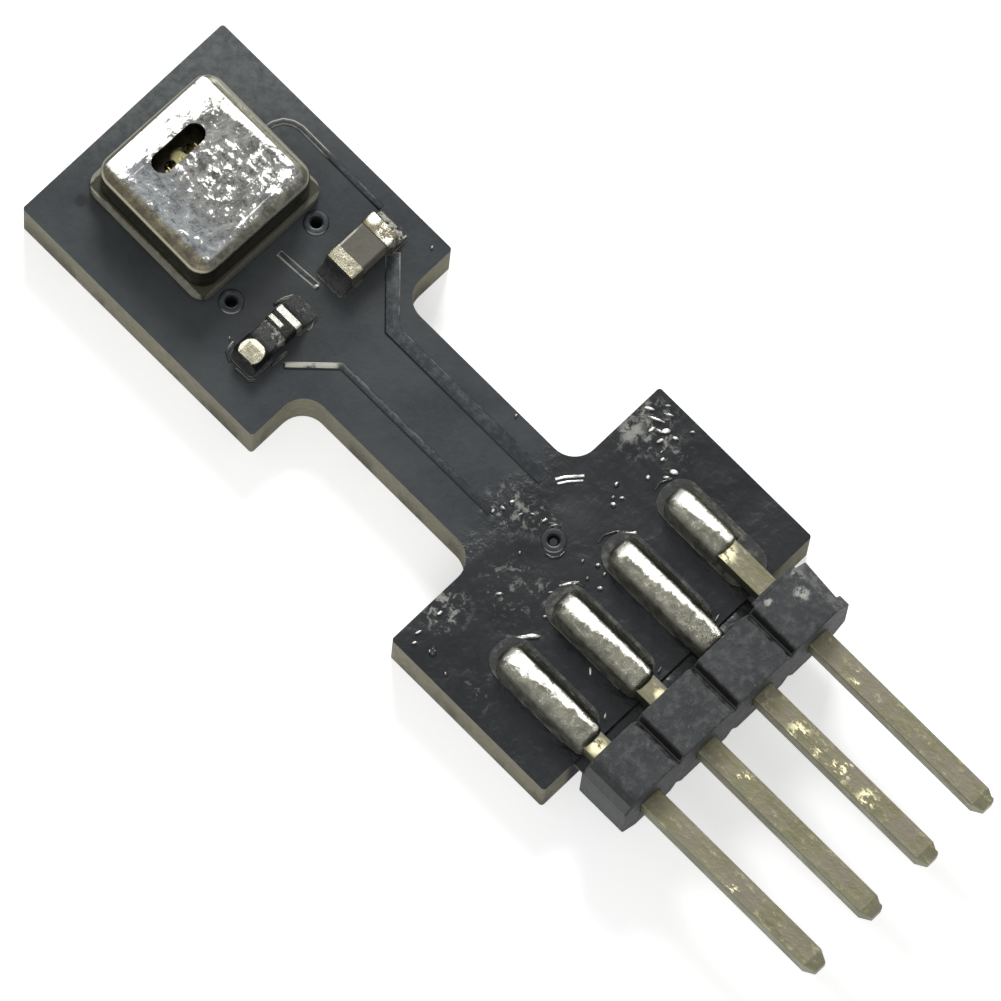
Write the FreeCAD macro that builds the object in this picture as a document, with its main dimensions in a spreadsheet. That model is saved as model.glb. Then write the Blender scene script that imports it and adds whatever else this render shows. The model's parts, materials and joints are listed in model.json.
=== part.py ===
import FreeCAD, Part
import os
import Sketcher

# Temperature and humidity sensor module: a dumbbell shaped circuit board, a vented metal
# sensor package on its head, two chip components, and a four way pin row at its other end.
#
# Frame, in millimetres: X runs along the pin row with 0 at the middle of the row, Y runs
# from the pins to the sensor with 0 at the board's front edge, Z is up with 0 at the
# board's underside.

# Driving dimensions: alias, value, meaning.
DIMENSIONS = [
    ("board_thick", 1.0, "thickness of the circuit board"),
    ("board_shift", 0.08, "board centre line, to the right of the middle of the pin row"),
    ("plate_wide", 6.1, "width of the plate that carries the pin row"),
    ("plate_long", 3.5, "length of the plate"),
    ("neck_wide", 2.2, "width of the neck"),
    ("neck_long", 4.0, "length of the neck"),
    ("neck_round", 0.45, "radius of the inner corners beside the neck"),
    ("head_wide", 4.55, "width of the head that carries the sensor"),
    ("head_long", 5.35, "length of the head"),
    ("corner_round", 0.06, "radius of the board's outer corners"),
    ("via_bore", 0.2, "diameter of the vias"),
    ("via_apart", 1.93, "distance between the two vias in the head"),
    ("via_shift", 0.03, "middle of the head's vias, to the right of the board's centre line"),
    ("via_ahead", 1.64, "head's vias, ahead of the sensor's centre"),
    ("via_plate", 0.64, "plate's via, ahead of the plate's rear edge"),
    ("copper_thick", 0.035, "height of the copper lands"),
    ("pin_count", 4, "number of pins"),
    ("pin_pitch", 1.27, "distance between neighbouring pins"),
    ("pin_wide", 0.4, "side of a pin's square section"),
    ("pin_tail", 1.96, "length of a pin over the board"),
    ("pin_reach", 5.2, "length of a pin beyond the board's front edge"),
    ("pin_bevel", 0.09, "depth of the bevels at a pin's ends"),
    ("pin_taper", 0.2, "length of the bevels at a pin's ends"),
    ("block_gap", 0.33, "gap between the board and the header block"),
    ("block_deep", 1.0, "length of the header block along the pins"),
    ("block_high", 1.6, "height of the header block"),
    ("block_end", 0.595, "header block beyond the axis of the first pin"),
    ("block_bevel", 0.3, "bevels at the header block's ends"),
    ("break_out", 0.08, "header block's snapped end, further out than its other end"),
    ("break_slant", 0.08, "slant of the snapped end's rear part"),
    ("break_nub", 0.22, "length of the nub at the front of the snapped end"),
    ("notch_wide", 0.22, "width of the break notches between pins"),
    ("notch_deep", 0.2, "depth of the break notches"),
    ("land_wide", 0.78, "width of the land under a pin"),
    ("land_long", 2.15, "length of the land under a pin"),
    ("land_inset", 0.1, "land under a pin, behind the board's front edge"),
    ("land_shift", 0.1, "land under a pin, to the right of the pin"),
    ("land_end", 0.35, "corner radius of the land under a pin"),
    ("land_round", 0.12, "corner radius of a chip's land"),
    ("solder_edge", 0.04, "bare rim of a land round its solder"),
    ("solder_toe", 0.18, "half the width of the solder's rear end"),
    ("solder_foot", 0.02, "height of the solder at its rim"),
    ("solder_film", 0.03, "solder on the top and sides of a pin"),
    ("solder_dish", 0.5, "radius of the solder's hollow flank"),
    ("solder_start", 0.3, "front end of the solder, behind the board's front edge"),
    ("solder_short", 0.74, "front end of the last pin's solder, which leaves the wire bare"),
    ("sensor_shift", 0.06, "sensor centre, to the right of the board's centre line"),
    ("sensor_back", 1.85, "sensor centre, ahead of the board's rear edge"),
    ("sensor_turn", -0.9, "turn of the sensor on its lands, in degrees"),
    ("joint_wide", 0.35, "width of the solder joints under the sensor"),
    ("joint_long", 0.3, "length of the solder joints under the sensor"),
    ("joint_pitch", 0.7, "distance between neighbouring joints of a row"),
    ("joint_rows", 2.2, "distance between the two rows of joints"),
    ("joint_count", 4, "number of joints in a row"),
    ("joint_thick", 0.05, "height of the solder joints under the sensor"),
    ("laminate_wide", 2.78, "side of the sensor's carrier"),
    ("laminate_thick", 0.22, "thickness of the sensor's carrier"),
    ("laminate_round", 0.26, "corner radius of the sensor's carrier"),
    ("lid_wide", 2.6, "side of the sensor's lid"),
    ("lid_high", 0.79, "height of the sensor's lid"),
    ("lid_wall", 0.08, "wall of the sensor's lid"),
    ("lid_round", 0.34, "corner radius of the sensor's lid"),
    ("lid_shoulder", 0.16, "radius of the lid's upper edge"),
    ("slot_long", 1.08, "length of the vent slot"),
    ("slot_wide", 0.37, "width of the vent slot"),
    ("slot_back", 0.595, "vent slot, behind the middle of the lid"),
    ("slot_side", 0.04, "vent slot, to the left of the middle of the lid"),
    ("die_thick", 0.2, "thickness of the two dies in the sensor"),
    ("circuit_wide", 1.5, "width of the circuit die"),
    ("circuit_long", 1.0, "length of the circuit die"),
    ("element_wide", 1.1, "width of the sensing die"),
    ("element_long", 0.5, "length of the sensing die"),
    ("element_back", 0.7, "sensing die, behind the middle of the lid"),
    ("die_gap", 0.2, "gap between the two dies"),
    ("wire_count", 3, "number of bond wires between the dies"),
    ("wire_pitch", 0.3, "distance between neighbouring bond wires"),
    ("wire_thick", 0.03, "diameter of a bond wire"),
    ("wire_inset", 0.1, "bond wire's ends, inside the edges of the dies"),
    ("ball_wide", 0.08, "diameter of the bond wires' feet"),
    ("ball_high", 0.02, "height of the bond wires' feet"),
    ("wire_rise", 0.16, "height of the bond wires over their feet"),
    ("wire_back", 0.12, "bond wire's highest point, from its foot on the sensing die"),
    ("chip_ahead", 2.54, "centre line of the chip components, ahead of the sensor's centre"),
    ("chip_plating", 0.02, "thickness of the chips' metal ends"),
    ("chip_round", 0.03, "rounding of the chips' long edges"),
    ("capacitor_side", 1.15, "capacitor, to the right of the board's centre line"),
    ("capacitor_long", 1.05, "length of the capacitor"),
    ("capacitor_wide", 0.6, "width of the capacitor"),
    ("capacitor_high", 0.5, "height of the capacitor"),
    ("capacitor_band", 0.25, "length of the capacitor's metal ends"),
    ("resistor_side", 0.845, "resistor's lands, to the left of the board's centre line"),
    ("resistor_slip", 0.145, "resistor, to the left of the middle of its lands"),
    ("resistor_long", 1.05, "length of the resistor"),
    ("resistor_wide", 0.5, "width of the resistor"),
    ("resistor_high", 0.35, "height of the resistor"),
    ("resistor_band", 0.34, "length of the resistor's metal ends"),
    ("pad_under", 0.28, "part of a chip's land that lies under the chip, without its slip"),
    ("pad_beyond", 0.25, "part of a chip's land that lies beyond the chip's end, without its slip"),
    ("pad_margin", 0.04, "chip's land, wider than the chip on each side"),
    ("fillet_rise", 0.7, "solder at a chip's end, as a share of the chip's height"),
    ("fillet_dish", 0.4, "radius of the hollow in the solder at a chip's end"),
]

# Heights and places that several sub-parts share, worked out from the dimensions.
LAND_TOP = "(Size.board_thick + Size.copper_thick)"
PIN_AXIS = "(%s + Size.pin_wide / 2)" % LAND_TOP
HEAD_FRONT = "(Size.plate_long + Size.neck_long)"
BOARD_REAR = "(%s + Size.head_long)" % HEAD_FRONT
CARRIER_BASE = "(Size.board_thick + Size.joint_thick)"
CARRIER_TOP = "(%s + Size.laminate_thick)" % CARRIER_BASE
DIE_TOP = "(%s + Size.die_thick)" % CARRIER_TOP
SENSOR_MIDDLE = "(%s - Size.sensor_back)" % BOARD_REAR
CHIP_LINE = "(%s - Size.chip_ahead)" % SENSOR_MIDDLE

TOUCH = 1e-6

doc = FreeCAD.newDocument("SensorModule")
sheet = doc.addObject("Spreadsheet::Sheet", "Size")
sub_parts = []


def fill_sheet():
    for row, (alias, amount, meaning) in enumerate(DIMENSIONS, start=1):
        sheet.set("A%d" % row, meaning)
        sheet.set("B%d" % row, str(amount))
        sheet.setAlias("B%d" % row, alias)
    doc.recompute()


def value(expression):
    return float(sheet.evalExpression(expression))


# Sketches

def new_body(name):
    body = doc.addObject("PartDesign::Body", name)
    body.Label = name
    sub_parts.append(body)
    return body


def place(body, x="0", y="0", z="0", turn=None):
    if turn is not None:
        about_z = FreeCAD.Rotation(FreeCAD.Vector(0, 0, 1), value(turn))
        body.Placement = FreeCAD.Placement(FreeCAD.Vector(), about_z)
        body.setExpression("Placement.Rotation.Angle", turn)
    body.setExpression("Placement.Base.x", x)
    body.setExpression("Placement.Base.y", y)
    body.setExpression("Placement.Base.z", z)


def new_sketch(body, name, plane, lift="0"):
    sketch = body.newObject("Sketcher::SketchObject", name)
    support = next(item for item in body.Origin.OriginFeatures if item.Role == plane)
    sketch.AttachmentSupport = [(support, "")]
    sketch.MapMode = "FlatFace"
    sketch.setExpression("AttachmentOffset.Base.z", lift)
    return sketch


def bind(sketch, kind, references, expression):
    number = sketch.addConstraint(Sketcher.Constraint(kind, *references, value(expression)))
    sketch.setExpression("Constraints[%d]" % number, expression)


def bind_point(sketch, geometry, point, x, y):
    bind(sketch, "DistanceX", (-1, 1, geometry, point), x)
    bind(sketch, "DistanceY", (-1, 1, geometry, point), y)


def draw_outline(sketch, corners, hollows=None):
    """Closed outline through corners; hollows maps an edge to the radius of an arc that
    runs clockwise, which bends into an outline that is drawn counter-clockwise."""
    hollows = hollows or {}
    spots = [FreeCAD.Vector(value(x), value(y), 0) for x, y in corners]
    ends = []
    for number, start in enumerate(spots):
        finish = spots[(number + 1) % len(spots)]
        if number in hollows:
            radius = value(hollows[number])
            half = (finish - start) * 0.5
            aside = FreeCAD.Vector(half.y, -half.x, 0).normalize()
            centre = start + half + aside * (radius ** 2 - half.Length ** 2) ** 0.5
            circle = Part.Circle(centre, FreeCAD.Vector(0, 0, 1), radius)
            arc = Part.ArcOfCircle(circle, circle.parameter(finish), circle.parameter(start))
            geometry = sketch.addGeometry(arc, False)
            ends.append((geometry, 2, 1))
        else:
            geometry = sketch.addGeometry(Part.LineSegment(start, finish), False)
            ends.append((geometry, 1, 2))
    for number, (geometry, first, last) in enumerate(ends):
        following = ends[(number + 1) % len(ends)]
        sketch.addConstraint(Sketcher.Constraint("Coincident", geometry, last, *following[:2]))
        bind_point(sketch, geometry, first, *corners[number])
        if number in hollows:
            bind(sketch, "Radius", (geometry,), hollows[number])


def draw_rectangle(sketch, wide, high, x="0", y="0"):
    left, right = "%s - (%s) / 2" % (x, wide), "%s + (%s) / 2" % (x, wide)
    low, top = "%s - (%s) / 2" % (y, high), "%s + (%s) / 2" % (y, high)
    draw_outline(sketch, [(left, low), (right, low), (right, top), (left, top)])


def draw_rounded_rectangle(sketch, wide, high, radius, x="0", y="0"):
    middle_x, middle_y, bend = value(x), value(y), value(radius)
    half_x, half_y = value(wide) / 2, value(high) / 2
    inner_x, inner_y = half_x - bend, half_y - bend

    def spot(side_x, side_y):
        return FreeCAD.Vector(middle_x + side_x, middle_y + side_y, 0)

    sides = [
        (spot(-inner_x, -half_y), spot(inner_x, -half_y)),
        (spot(half_x, -inner_y), spot(half_x, inner_y)),
        (spot(inner_x, half_y), spot(-inner_x, half_y)),
        (spot(-half_x, inner_y), spot(-half_x, -inner_y)),
    ]
    lines = [sketch.addGeometry(Part.LineSegment(*side), False) for side in sides]
    arcs = []
    for centre, start, finish in (
            (spot(inner_x, -inner_y), sides[0][1], sides[1][0]),
            (spot(inner_x, inner_y), sides[1][1], sides[2][0]),
            (spot(-inner_x, inner_y), sides[2][1], sides[3][0]),
            (spot(-inner_x, -inner_y), sides[3][1], sides[0][0])):
        circle = Part.Circle(centre, FreeCAD.Vector(0, 0, 1), bend)
        arc = Part.ArcOfCircle(circle, circle.parameter(start), circle.parameter(finish))
        arcs.append(sketch.addGeometry(arc, False))
    for number in range(4):
        sketch.addConstraint(Sketcher.Constraint("Tangent", lines[number], 2, arcs[number], 1))
        sketch.addConstraint(Sketcher.Constraint("Tangent", arcs[number], 2, lines[(number + 1) % 4], 1))
        sketch.addConstraint(Sketcher.Constraint("Vertical" if number % 2 else "Horizontal", lines[number]))
    for arc in arcs[1:]:
        sketch.addConstraint(Sketcher.Constraint("Equal", arcs[0], arc))
    bind(sketch, "Radius", (arcs[0],), radius)
    reach_x, reach_y = "((%s) / 2 - %s)" % (wide, radius), "((%s) / 2 - %s)" % (high, radius)
    bind_point(sketch, arcs[3], 3, "%s - %s" % (x, reach_x), "%s - %s" % (y, reach_y))
    bind_point(sketch, arcs[1], 3, "%s + %s" % (x, reach_x), "%s + %s" % (y, reach_y))


def draw_slot(sketch, length, wide, x="0", y="0"):
    reach, radius = value("(%s - %s) / 2" % (length, wide)), value("%s / 2" % wide)
    middle = FreeCAD.Vector(value(x), value(y), 0)
    along, across = FreeCAD.Vector(reach, 0, 0), FreeCAD.Vector(0, radius, 0)
    right, left = middle + along, middle - along
    up = FreeCAD.Vector(0, 0, 1)
    lower = sketch.addGeometry(Part.LineSegment(left - across, right - across), False)
    upper = sketch.addGeometry(Part.LineSegment(right + across, left + across), False)
    arcs = []
    for centre, start, finish in (
            (right, right - across, right + across),
            (left, left + across, left - across)):
        circle = Part.Circle(centre, up, radius)
        arc = Part.ArcOfCircle(circle, circle.parameter(start), circle.parameter(finish))
        arcs.append(sketch.addGeometry(arc, False))
    for one, two in ((lower, arcs[0]), (arcs[0], upper), (upper, arcs[1]), (arcs[1], lower)):
        sketch.addConstraint(Sketcher.Constraint("Tangent", one, 2, two, 1))
    sketch.addConstraint(Sketcher.Constraint("Equal", arcs[0], arcs[1]))
    bind(sketch, "Radius", (arcs[0],), "%s / 2" % wide)
    bind_point(sketch, arcs[0], 3, "%s + (%s - %s) / 2" % (x, length, wide), y)
    bind_point(sketch, arcs[1], 3, "%s - (%s - %s) / 2" % (x, length, wide), y)


def draw_circle(sketch, diameter, x="0", y="0"):
    centre = FreeCAD.Vector(value(x), value(y), 0)
    circle = Part.Circle(centre, FreeCAD.Vector(0, 0, 1), value(diameter) / 2)
    geometry = sketch.addGeometry(circle, False)
    bind(sketch, "Diameter", (geometry,), diameter)
    bind_point(sketch, geometry, 3, x, y)


# Features

def add_pad(body, sketch, length):
    pad = body.newObject("PartDesign::Pad", sketch.Name + "_pad")
    pad.Profile = sketch
    pad.setExpression("Length", length)
    doc.recompute()
    return pad


def cut_pocket(body, sketch, length=None, along=False):
    """Pocket against the sketch's normal, or with it when along is set; through everything
    when no length is given."""
    before = body.Shape.Volume
    pocket = body.newObject("PartDesign::Pocket", sketch.Name + "_pocket")
    pocket.Profile = sketch
    pocket.Reversed = along
    if length is None:
        pocket.Type = "ThroughAll"
    else:
        pocket.setExpression("Length", length)
    doc.recompute()
    if not body.Shape.Volume < before:
        raise RuntimeError("%s cuts nothing" % pocket.Name)
    return pocket


def repeat_along_x(body, feature, spacing, count):
    """Copies of the feature in a row that starts at the feature itself."""
    pattern = body.newObject("PartDesign::LinearPattern", feature.Name + "_row")
    pattern.Originals = [feature]
    axis = next(item for item in body.Origin.OriginFeatures if item.Role == "X_Axis")
    pattern.Direction = (axis, [""])
    pattern.setExpression("Length", "%s * (%s - 1)" % (spacing, count))
    pattern.setExpression("Occurrences", count)
    body.Tip = pattern
    doc.recompute()
    return pattern


def edge_names(shape, wanted):
    return ["Edge%d" % number for number, edge in enumerate(shape.Edges, start=1) if wanted(edge)]


def face_names(shape, wanted):
    return ["Face%d" % number for number, face in enumerate(shape.Faces, start=1) if wanted(face)]


def round_edges(body, base, wanted, radius):
    fillet = body.newObject("PartDesign::Fillet", base.Name + "_round")
    fillet.Base = (base, edge_names(base.Shape, wanted))
    fillet.setExpression("Radius", radius)
    doc.recompute()
    return fillet


def bevel_edges(body, base, wanted, depth):
    chamfer = body.newObject("PartDesign::Chamfer", base.Name + "_bevel")
    chamfer.Base = (base, edge_names(base.Shape, wanted))
    chamfer.setExpression("Size", depth)
    doc.recompute()
    return chamfer


def loft_through(body, kind, name, sections):
    """Loft with straight sides through the sections; kind is Additive or Subtractive."""
    doc.recompute()
    loft = body.newObject("PartDesign::%sLoft" % kind, name)
    loft.Profile = sections[0]
    loft.Sections = sections[1:]
    loft.Ruled = True
    doc.recompute()
    return loft


def runs_along(edge, axis):
    box = edge.BoundBox
    lengths = {"x": box.XLength, "y": box.YLength, "z": box.ZLength}
    others = [length for name, length in lengths.items() if name != axis]
    return lengths[axis] > TOUCH and max(others) < TOUCH


def lies_at(amount, expression):
    return abs(amount - value(expression)) < TOUCH


# Circuit board

def make_circuit_board():
    body = new_body("circuit_board")
    outline = new_sketch(body, "board_outline", "XY_Plane")
    half = []
    for wide, front, rear in (
            ("Size.plate_wide", "0", "Size.plate_long"),
            ("Size.neck_wide", "Size.plate_long", HEAD_FRONT),
            ("Size.head_wide", HEAD_FRONT, BOARD_REAR)):
        half += [(wide, front), (wide, rear)]
    right = [("Size.board_shift + %s / 2" % wide, y) for wide, y in half]
    left = [("Size.board_shift - %s / 2" % wide, y) for wide, y in reversed(half)]
    draw_outline(outline, right + left)
    slab = add_pad(body, outline, "Size.board_thick")

    def upright_at(edge, wide):
        aside = abs(edge.Vertexes[0].X - value("Size.board_shift"))
        return runs_along(edge, "z") and lies_at(aside, wide + " / 2")

    def beside_neck(edge):
        return upright_at(edge, "Size.neck_wide")

    def at_corner(edge):
        return upright_at(edge, "Size.plate_wide") or upright_at(edge, "Size.head_wide")

    waist = round_edges(body, slab, beside_neck, "Size.neck_round")
    round_edges(body, waist, at_corner, "Size.corner_round")

    vias = new_sketch(body, "via_circles", "XY_Plane", "Size.board_thick")
    for side in ("-", "+"):
        x = "Size.board_shift + Size.via_shift %s Size.via_apart / 2" % side
        draw_circle(vias, "Size.via_bore", x, SENSOR_MIDDLE + " - Size.via_ahead")
    draw_circle(vias, "Size.via_bore", "Size.board_shift", "Size.plate_long - Size.via_plate")
    cut_pocket(body, vias)


# Pin row

PIN_SHOULDER = "(Size.pin_tail - Size.pin_taper)"
BEVELLED_END = "(Size.pin_wide - 2 * Size.pin_bevel)"


def pin_x(number):
    return "(%d - (Size.pin_count - 1) / 2) * Size.pin_pitch" % number


def draw_wire_sections(body, stations, middle="0"):
    """Square sections of a pin; each station is its place along Y and the section's side."""
    sections = []
    for rank, (y, side) in enumerate(stations):
        section = new_sketch(body, "%s_wire_%d" % (body.Name, rank), "XZ_Plane", "-(%s)" % y)
        draw_rectangle(section, side, side, y=middle)
        sections.append(section)
    return sections


def make_pin(number):
    body = new_body("pin_%d" % (number + 1))
    stations = [
        ("Size.pin_tail", BEVELLED_END), (PIN_SHOULDER, "Size.pin_wide"),
        ("Size.pin_taper - Size.pin_reach", "Size.pin_wide"), ("-Size.pin_reach", BEVELLED_END),
    ]
    loft_through(body, "Additive", body.Name + "_wire", draw_wire_sections(body, stations))
    place(body, x=pin_x(number), z=PIN_AXIS)


def make_header_block():
    body = new_body("header_block")
    outline = new_sketch(body, "block_outline", "XZ_Plane", "Size.block_gap")
    wide = "(Size.pin_pitch * (Size.pin_count - 1) + 2 * Size.block_end + Size.break_out)"
    draw_rectangle(outline, wide, "Size.block_high", x="Size.break_out / 2")
    bar = add_pad(body, outline, "Size.block_deep")

    def at_end(edge):
        return runs_along(edge, "y")

    bevel_edges(body, bar, at_end, "Size.block_bevel")

    # the end where the strip was snapped slants, and keeps a nub at its front
    snapped = new_sketch(body, "snapped_end", "XY_Plane", "Size.block_high / 2")
    end = "((Size.pin_count - 1) / 2 * Size.pin_pitch + Size.block_end + Size.break_out)"
    rear, nub = "-Size.block_gap", "-(Size.block_gap + Size.block_deep - Size.break_nub)"
    draw_outline(snapped, [(end, rear), (end + " - Size.break_slant", nub), (end, nub)])
    cut_pocket(body, snapped)

    notches = new_sketch(body, "block_notches", "XZ_Plane")
    middle = "(1 - Size.pin_count / 2) * Size.pin_pitch"
    left, right = middle + " - Size.notch_wide / 2", middle + " + Size.notch_wide / 2"
    for side in ("+", "-"):
        surface = side + " Size.block_high / 2"
        root = side + " (Size.block_high / 2 - Size.notch_deep)"
        draw_outline(notches, [(left, surface), (middle, root), (right, surface)])
    pair = cut_pocket(body, notches, along=True)
    repeat_along_x(body, pair, "Size.pin_pitch", "Size.pin_count - 1")

    bores = new_sketch(body, "block_bores", "XZ_Plane")
    draw_rectangle(bores, "Size.pin_wide", "Size.pin_wide", x=pin_x(0))
    bore = cut_pocket(body, bores, along=True)
    repeat_along_x(body, bore, "Size.pin_pitch", "Size.pin_count")
    place(body, z=PIN_AXIS)


def make_pin_land(number):
    body = new_body("pin_land_%d" % (number + 1))
    outline = new_sketch(body, "outline_of_land_%d" % (number + 1), "XY_Plane")
    middle = "(Size.land_inset + Size.land_long / 2)"
    draw_rounded_rectangle(outline, "Size.land_wide", "Size.land_long", "Size.land_end", y=middle)
    add_pad(body, outline, "Size.copper_thick")
    place(body, x=pin_x(number) + " + Size.land_shift", z="Size.board_thick")


def make_pin_solder(number):
    """Solder mound on a land, round the sides, top and bevelled end of a pin. The land lies
    off to the right of the pin, so the mound has its hollow flank on that side."""
    body = new_body("pin_solder_%d" % (number + 1))
    front = "Size.solder_short" if number == value("Size.pin_count") - 1 else "Size.solder_start"
    rear = "(Size.land_inset + Size.land_long - Size.solder_edge)"
    foot = "(Size.land_wide / 2 - Size.solder_edge)"
    crest = "(Size.pin_wide / 2 + Size.solder_film)"
    full = "(Size.pin_wide + Size.solder_film)"
    ribs = [
        (rear, "Size.land_shift", "Size.solder_toe", "Size.solder_toe / 2", "2 * Size.solder_foot"),
        ("(Size.pin_tail + Size.solder_film)", "0", foot, crest + " - Size.pin_bevel", full + " - Size.pin_bevel"),
        (PIN_SHOULDER, "0", foot, crest, full),
        (front, "0", foot + " - Size.solder_edge", crest, full),
    ]
    sections = []
    for rank, (y, middle, half_foot, half_crest, height) in enumerate(ribs):
        rib = new_sketch(body, "%s_rib_%d" % (body.Name, rank), "XZ_Plane", "-" + y)
        low_left, low_right = ["Size.land_shift %s (%s)" % (side, half_foot) for side in "-+"]
        top_left, top_right = ["%s %s (%s)" % (middle, side, half_crest) for side in "-+"]
        corners = [
            (low_left, "0"), (low_right, "0"), (low_right, "Size.solder_foot"),
            (top_right, height), (top_left, height), (low_left, "Size.solder_foot"),
        ]
        draw_outline(rib, corners, {2: "Size.solder_dish"})
        sections.append(rib)
    loft_through(body, "Additive", body.Name + "_mound", sections)

    stations = [("Size.pin_tail", BEVELLED_END), (PIN_SHOULDER, "Size.pin_wide"), ("0", "Size.pin_wide")]
    hollow = draw_wire_sections(body, stations, middle="Size.pin_wide / 2")
    loft_through(body, "Subtractive", body.Name + "_hollow", hollow)
    place(body, x=pin_x(number), z=LAND_TOP)


# Sensor package

def place_in_sensor(body, z):
    """Place a sensor piece that is modelled about the sensor's own centre."""
    place(body, "Size.board_shift + Size.sensor_shift", SENSOR_MIDDLE, z, turn="Size.sensor_turn")


def make_sensor_joints():
    body = new_body("sensor_joints")
    outline = new_sketch(body, "joint_outlines", "XY_Plane")
    for side in ("-", "+"):
        for rank in range(int(value("Size.joint_count"))):
            x = "(%d - (Size.joint_count - 1) / 2) * Size.joint_pitch" % rank
            y = side + " Size.joint_rows / 2"
            draw_rectangle(outline, "Size.joint_wide", "Size.joint_long", x, y)
    add_pad(body, outline, "Size.joint_thick")
    place_in_sensor(body, "Size.board_thick")


def make_sensor_carrier():
    body = new_body("sensor_carrier")
    outline = new_sketch(body, "carrier_outline", "XY_Plane")
    draw_rounded_rectangle(outline, "Size.laminate_wide", "Size.laminate_wide", "Size.laminate_round")
    add_pad(body, outline, "Size.laminate_thick")
    place_in_sensor(body, CARRIER_BASE)


def make_sensor_lid():
    """Drawn metal can, open below, with rounded shoulders and a vent slot through its top."""
    body = new_body("sensor_lid")
    outline = new_sketch(body, "lid_outline", "XY_Plane")
    draw_rounded_rectangle(outline, "Size.lid_wide", "Size.lid_wide", "Size.lid_round")
    block = add_pad(body, outline, "Size.lid_high")

    def at_top(edge):
        return lies_at(edge.BoundBox.ZMin, "Size.lid_high")

    shoulder = round_edges(body, block, at_top, "Size.lid_shoulder")
    shell = body.newObject("PartDesign::Thickness", "lid_shell")
    shell.Base = (shoulder, face_names(shoulder.Shape, lambda face: lies_at(face.BoundBox.ZMax, "0")))
    shell.Reversed = True
    shell.setExpression("Value", "Size.lid_wall")
    doc.recompute()
    if not shell.Shape.Volume < shoulder.Shape.Volume:
        raise RuntimeError("the lid isn't hollow")
    slot = new_sketch(body, "vent_slot", "XY_Plane", "Size.lid_high")
    draw_slot(slot, "Size.slot_long", "Size.slot_wide", x="-Size.slot_side", y="Size.slot_back")
    cut_pocket(body, slot)
    place_in_sensor(body, CARRIER_TOP)


ELEMENT_FRONT = "(Size.element_back - Size.element_long / 2)"
CIRCUIT_REAR = "(%s - Size.die_gap)" % ELEMENT_FRONT


def make_dies():
    element = new_body("sensing_die")
    outline = new_sketch(element, "element_outline", "XY_Plane")
    draw_rectangle(outline, "Size.element_wide", "Size.element_long", y="Size.element_back")
    add_pad(element, outline, "Size.die_thick")
    place_in_sensor(element, CARRIER_TOP)

    circuit = new_body("circuit_die")
    outline = new_sketch(circuit, "circuit_outline", "XY_Plane")
    middle = CIRCUIT_REAR + " - Size.circuit_long / 2"
    draw_rectangle(outline, "Size.circuit_wide", "Size.circuit_long", y=middle)
    add_pad(circuit, outline, "Size.die_thick")
    place_in_sensor(circuit, CARRIER_TOP)


def make_bond_wire(number):
    """Wire that rises from the sensing die, bends back and runs down to the circuit die, with
    a foot on each."""
    name = "bond_wire_%d" % (number + 1)
    body = new_body(name)
    x = "(%d - (Size.wire_count - 1) / 2) * Size.wire_pitch" % number
    near, far = CIRCUIT_REAR + " - Size.wire_inset", ELEMENT_FRONT + " + Size.wire_inset"
    feet = new_sketch(body, name + "_feet", "XY_Plane")
    draw_circle(feet, "Size.ball_wide", x, near)
    draw_circle(feet, "Size.ball_wide", x, far)
    add_pad(body, feet, "Size.ball_high")

    path = new_sketch(body, name + "_path", "YZ_Plane", x)
    top = "(Size.ball_high + Size.wire_rise)"
    knees = [
        (far, "Size.ball_high"), (far, top), ("%s - Size.wire_back" % far, top), (near, "Size.ball_high"),
    ]
    spots = [FreeCAD.Vector(value(y), value(z), 0) for y, z in knees]
    legs = [path.addGeometry(Part.LineSegment(*ends), False) for ends in zip(spots, spots[1:])]
    for leg, knee in zip(legs, knees):
        bind_point(path, leg, 1, *knee)
    bind_point(path, legs[-1], 2, *knees[-1])
    for leg, following in zip(legs, legs[1:]):
        path.addConstraint(Sketcher.Constraint("Coincident", leg, 2, following, 1))

    section = new_sketch(body, name + "_section", "XY_Plane", "Size.ball_high")
    draw_circle(section, "Size.wire_thick", x, far)
    doc.recompute()
    loop = body.newObject("PartDesign::AdditivePipe", name + "_loop")
    loop.Profile = section
    loop.Spine = path
    loop.Transition = "Right corner"
    doc.recompute()
    place_in_sensor(body, DIE_TOP)


# Chip components

def make_chip_body(chip, x):
    """Bar between the metal ends of a chip, which it fills."""
    body = new_body(chip + "_body")
    inside = "(Size.%s_long / 2 - Size.chip_plating)" % chip
    section = new_sketch(body, chip + "_core", "YZ_Plane", "-" + inside)
    wide, high = ["(Size.%s_%s - 2 * Size.chip_plating)" % (chip, side) for side in ("wide", "high")]
    draw_rounded_rectangle(section, wide, high, "Size.chip_round", y="Size.%s_high / 2" % chip)
    add_pad(body, section, "2 * " + inside)
    place(body, x, CHIP_LINE, LAND_TOP)


def make_chip_end(chip, x, side, turn):
    """Metal cap over one end of a chip, closed on its end and open towards the middle."""
    body = new_body("%s_end_%s" % (chip, side))
    band = "Size.%s_band" % chip
    inner = "(Size.%s_long / 2 - %s)" % (chip, band)
    wide, high = ["Size.%s_%s" % (chip, name) for name in ("wide", "high")]
    bend = "(Size.chip_round + Size.chip_plating)"
    outer = new_sketch(body, "%s_cap_%s" % (chip, side), "YZ_Plane", inner)
    draw_rounded_rectangle(outer, wide, high, bend, y=high + " / 2")
    add_pad(body, outer, band)
    hollow = new_sketch(body, "%s_hollow_%s" % (chip, side), "YZ_Plane", inner)
    core = ["(%s - 2 * Size.chip_plating)" % outside for outside in (wide, high)]
    draw_rounded_rectangle(hollow, *core, "Size.chip_round", y=high + " / 2")
    cut_pocket(body, hollow, band + " - Size.chip_plating", along=True)
    place(body, x, CHIP_LINE, LAND_TOP, turn=turn)


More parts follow.
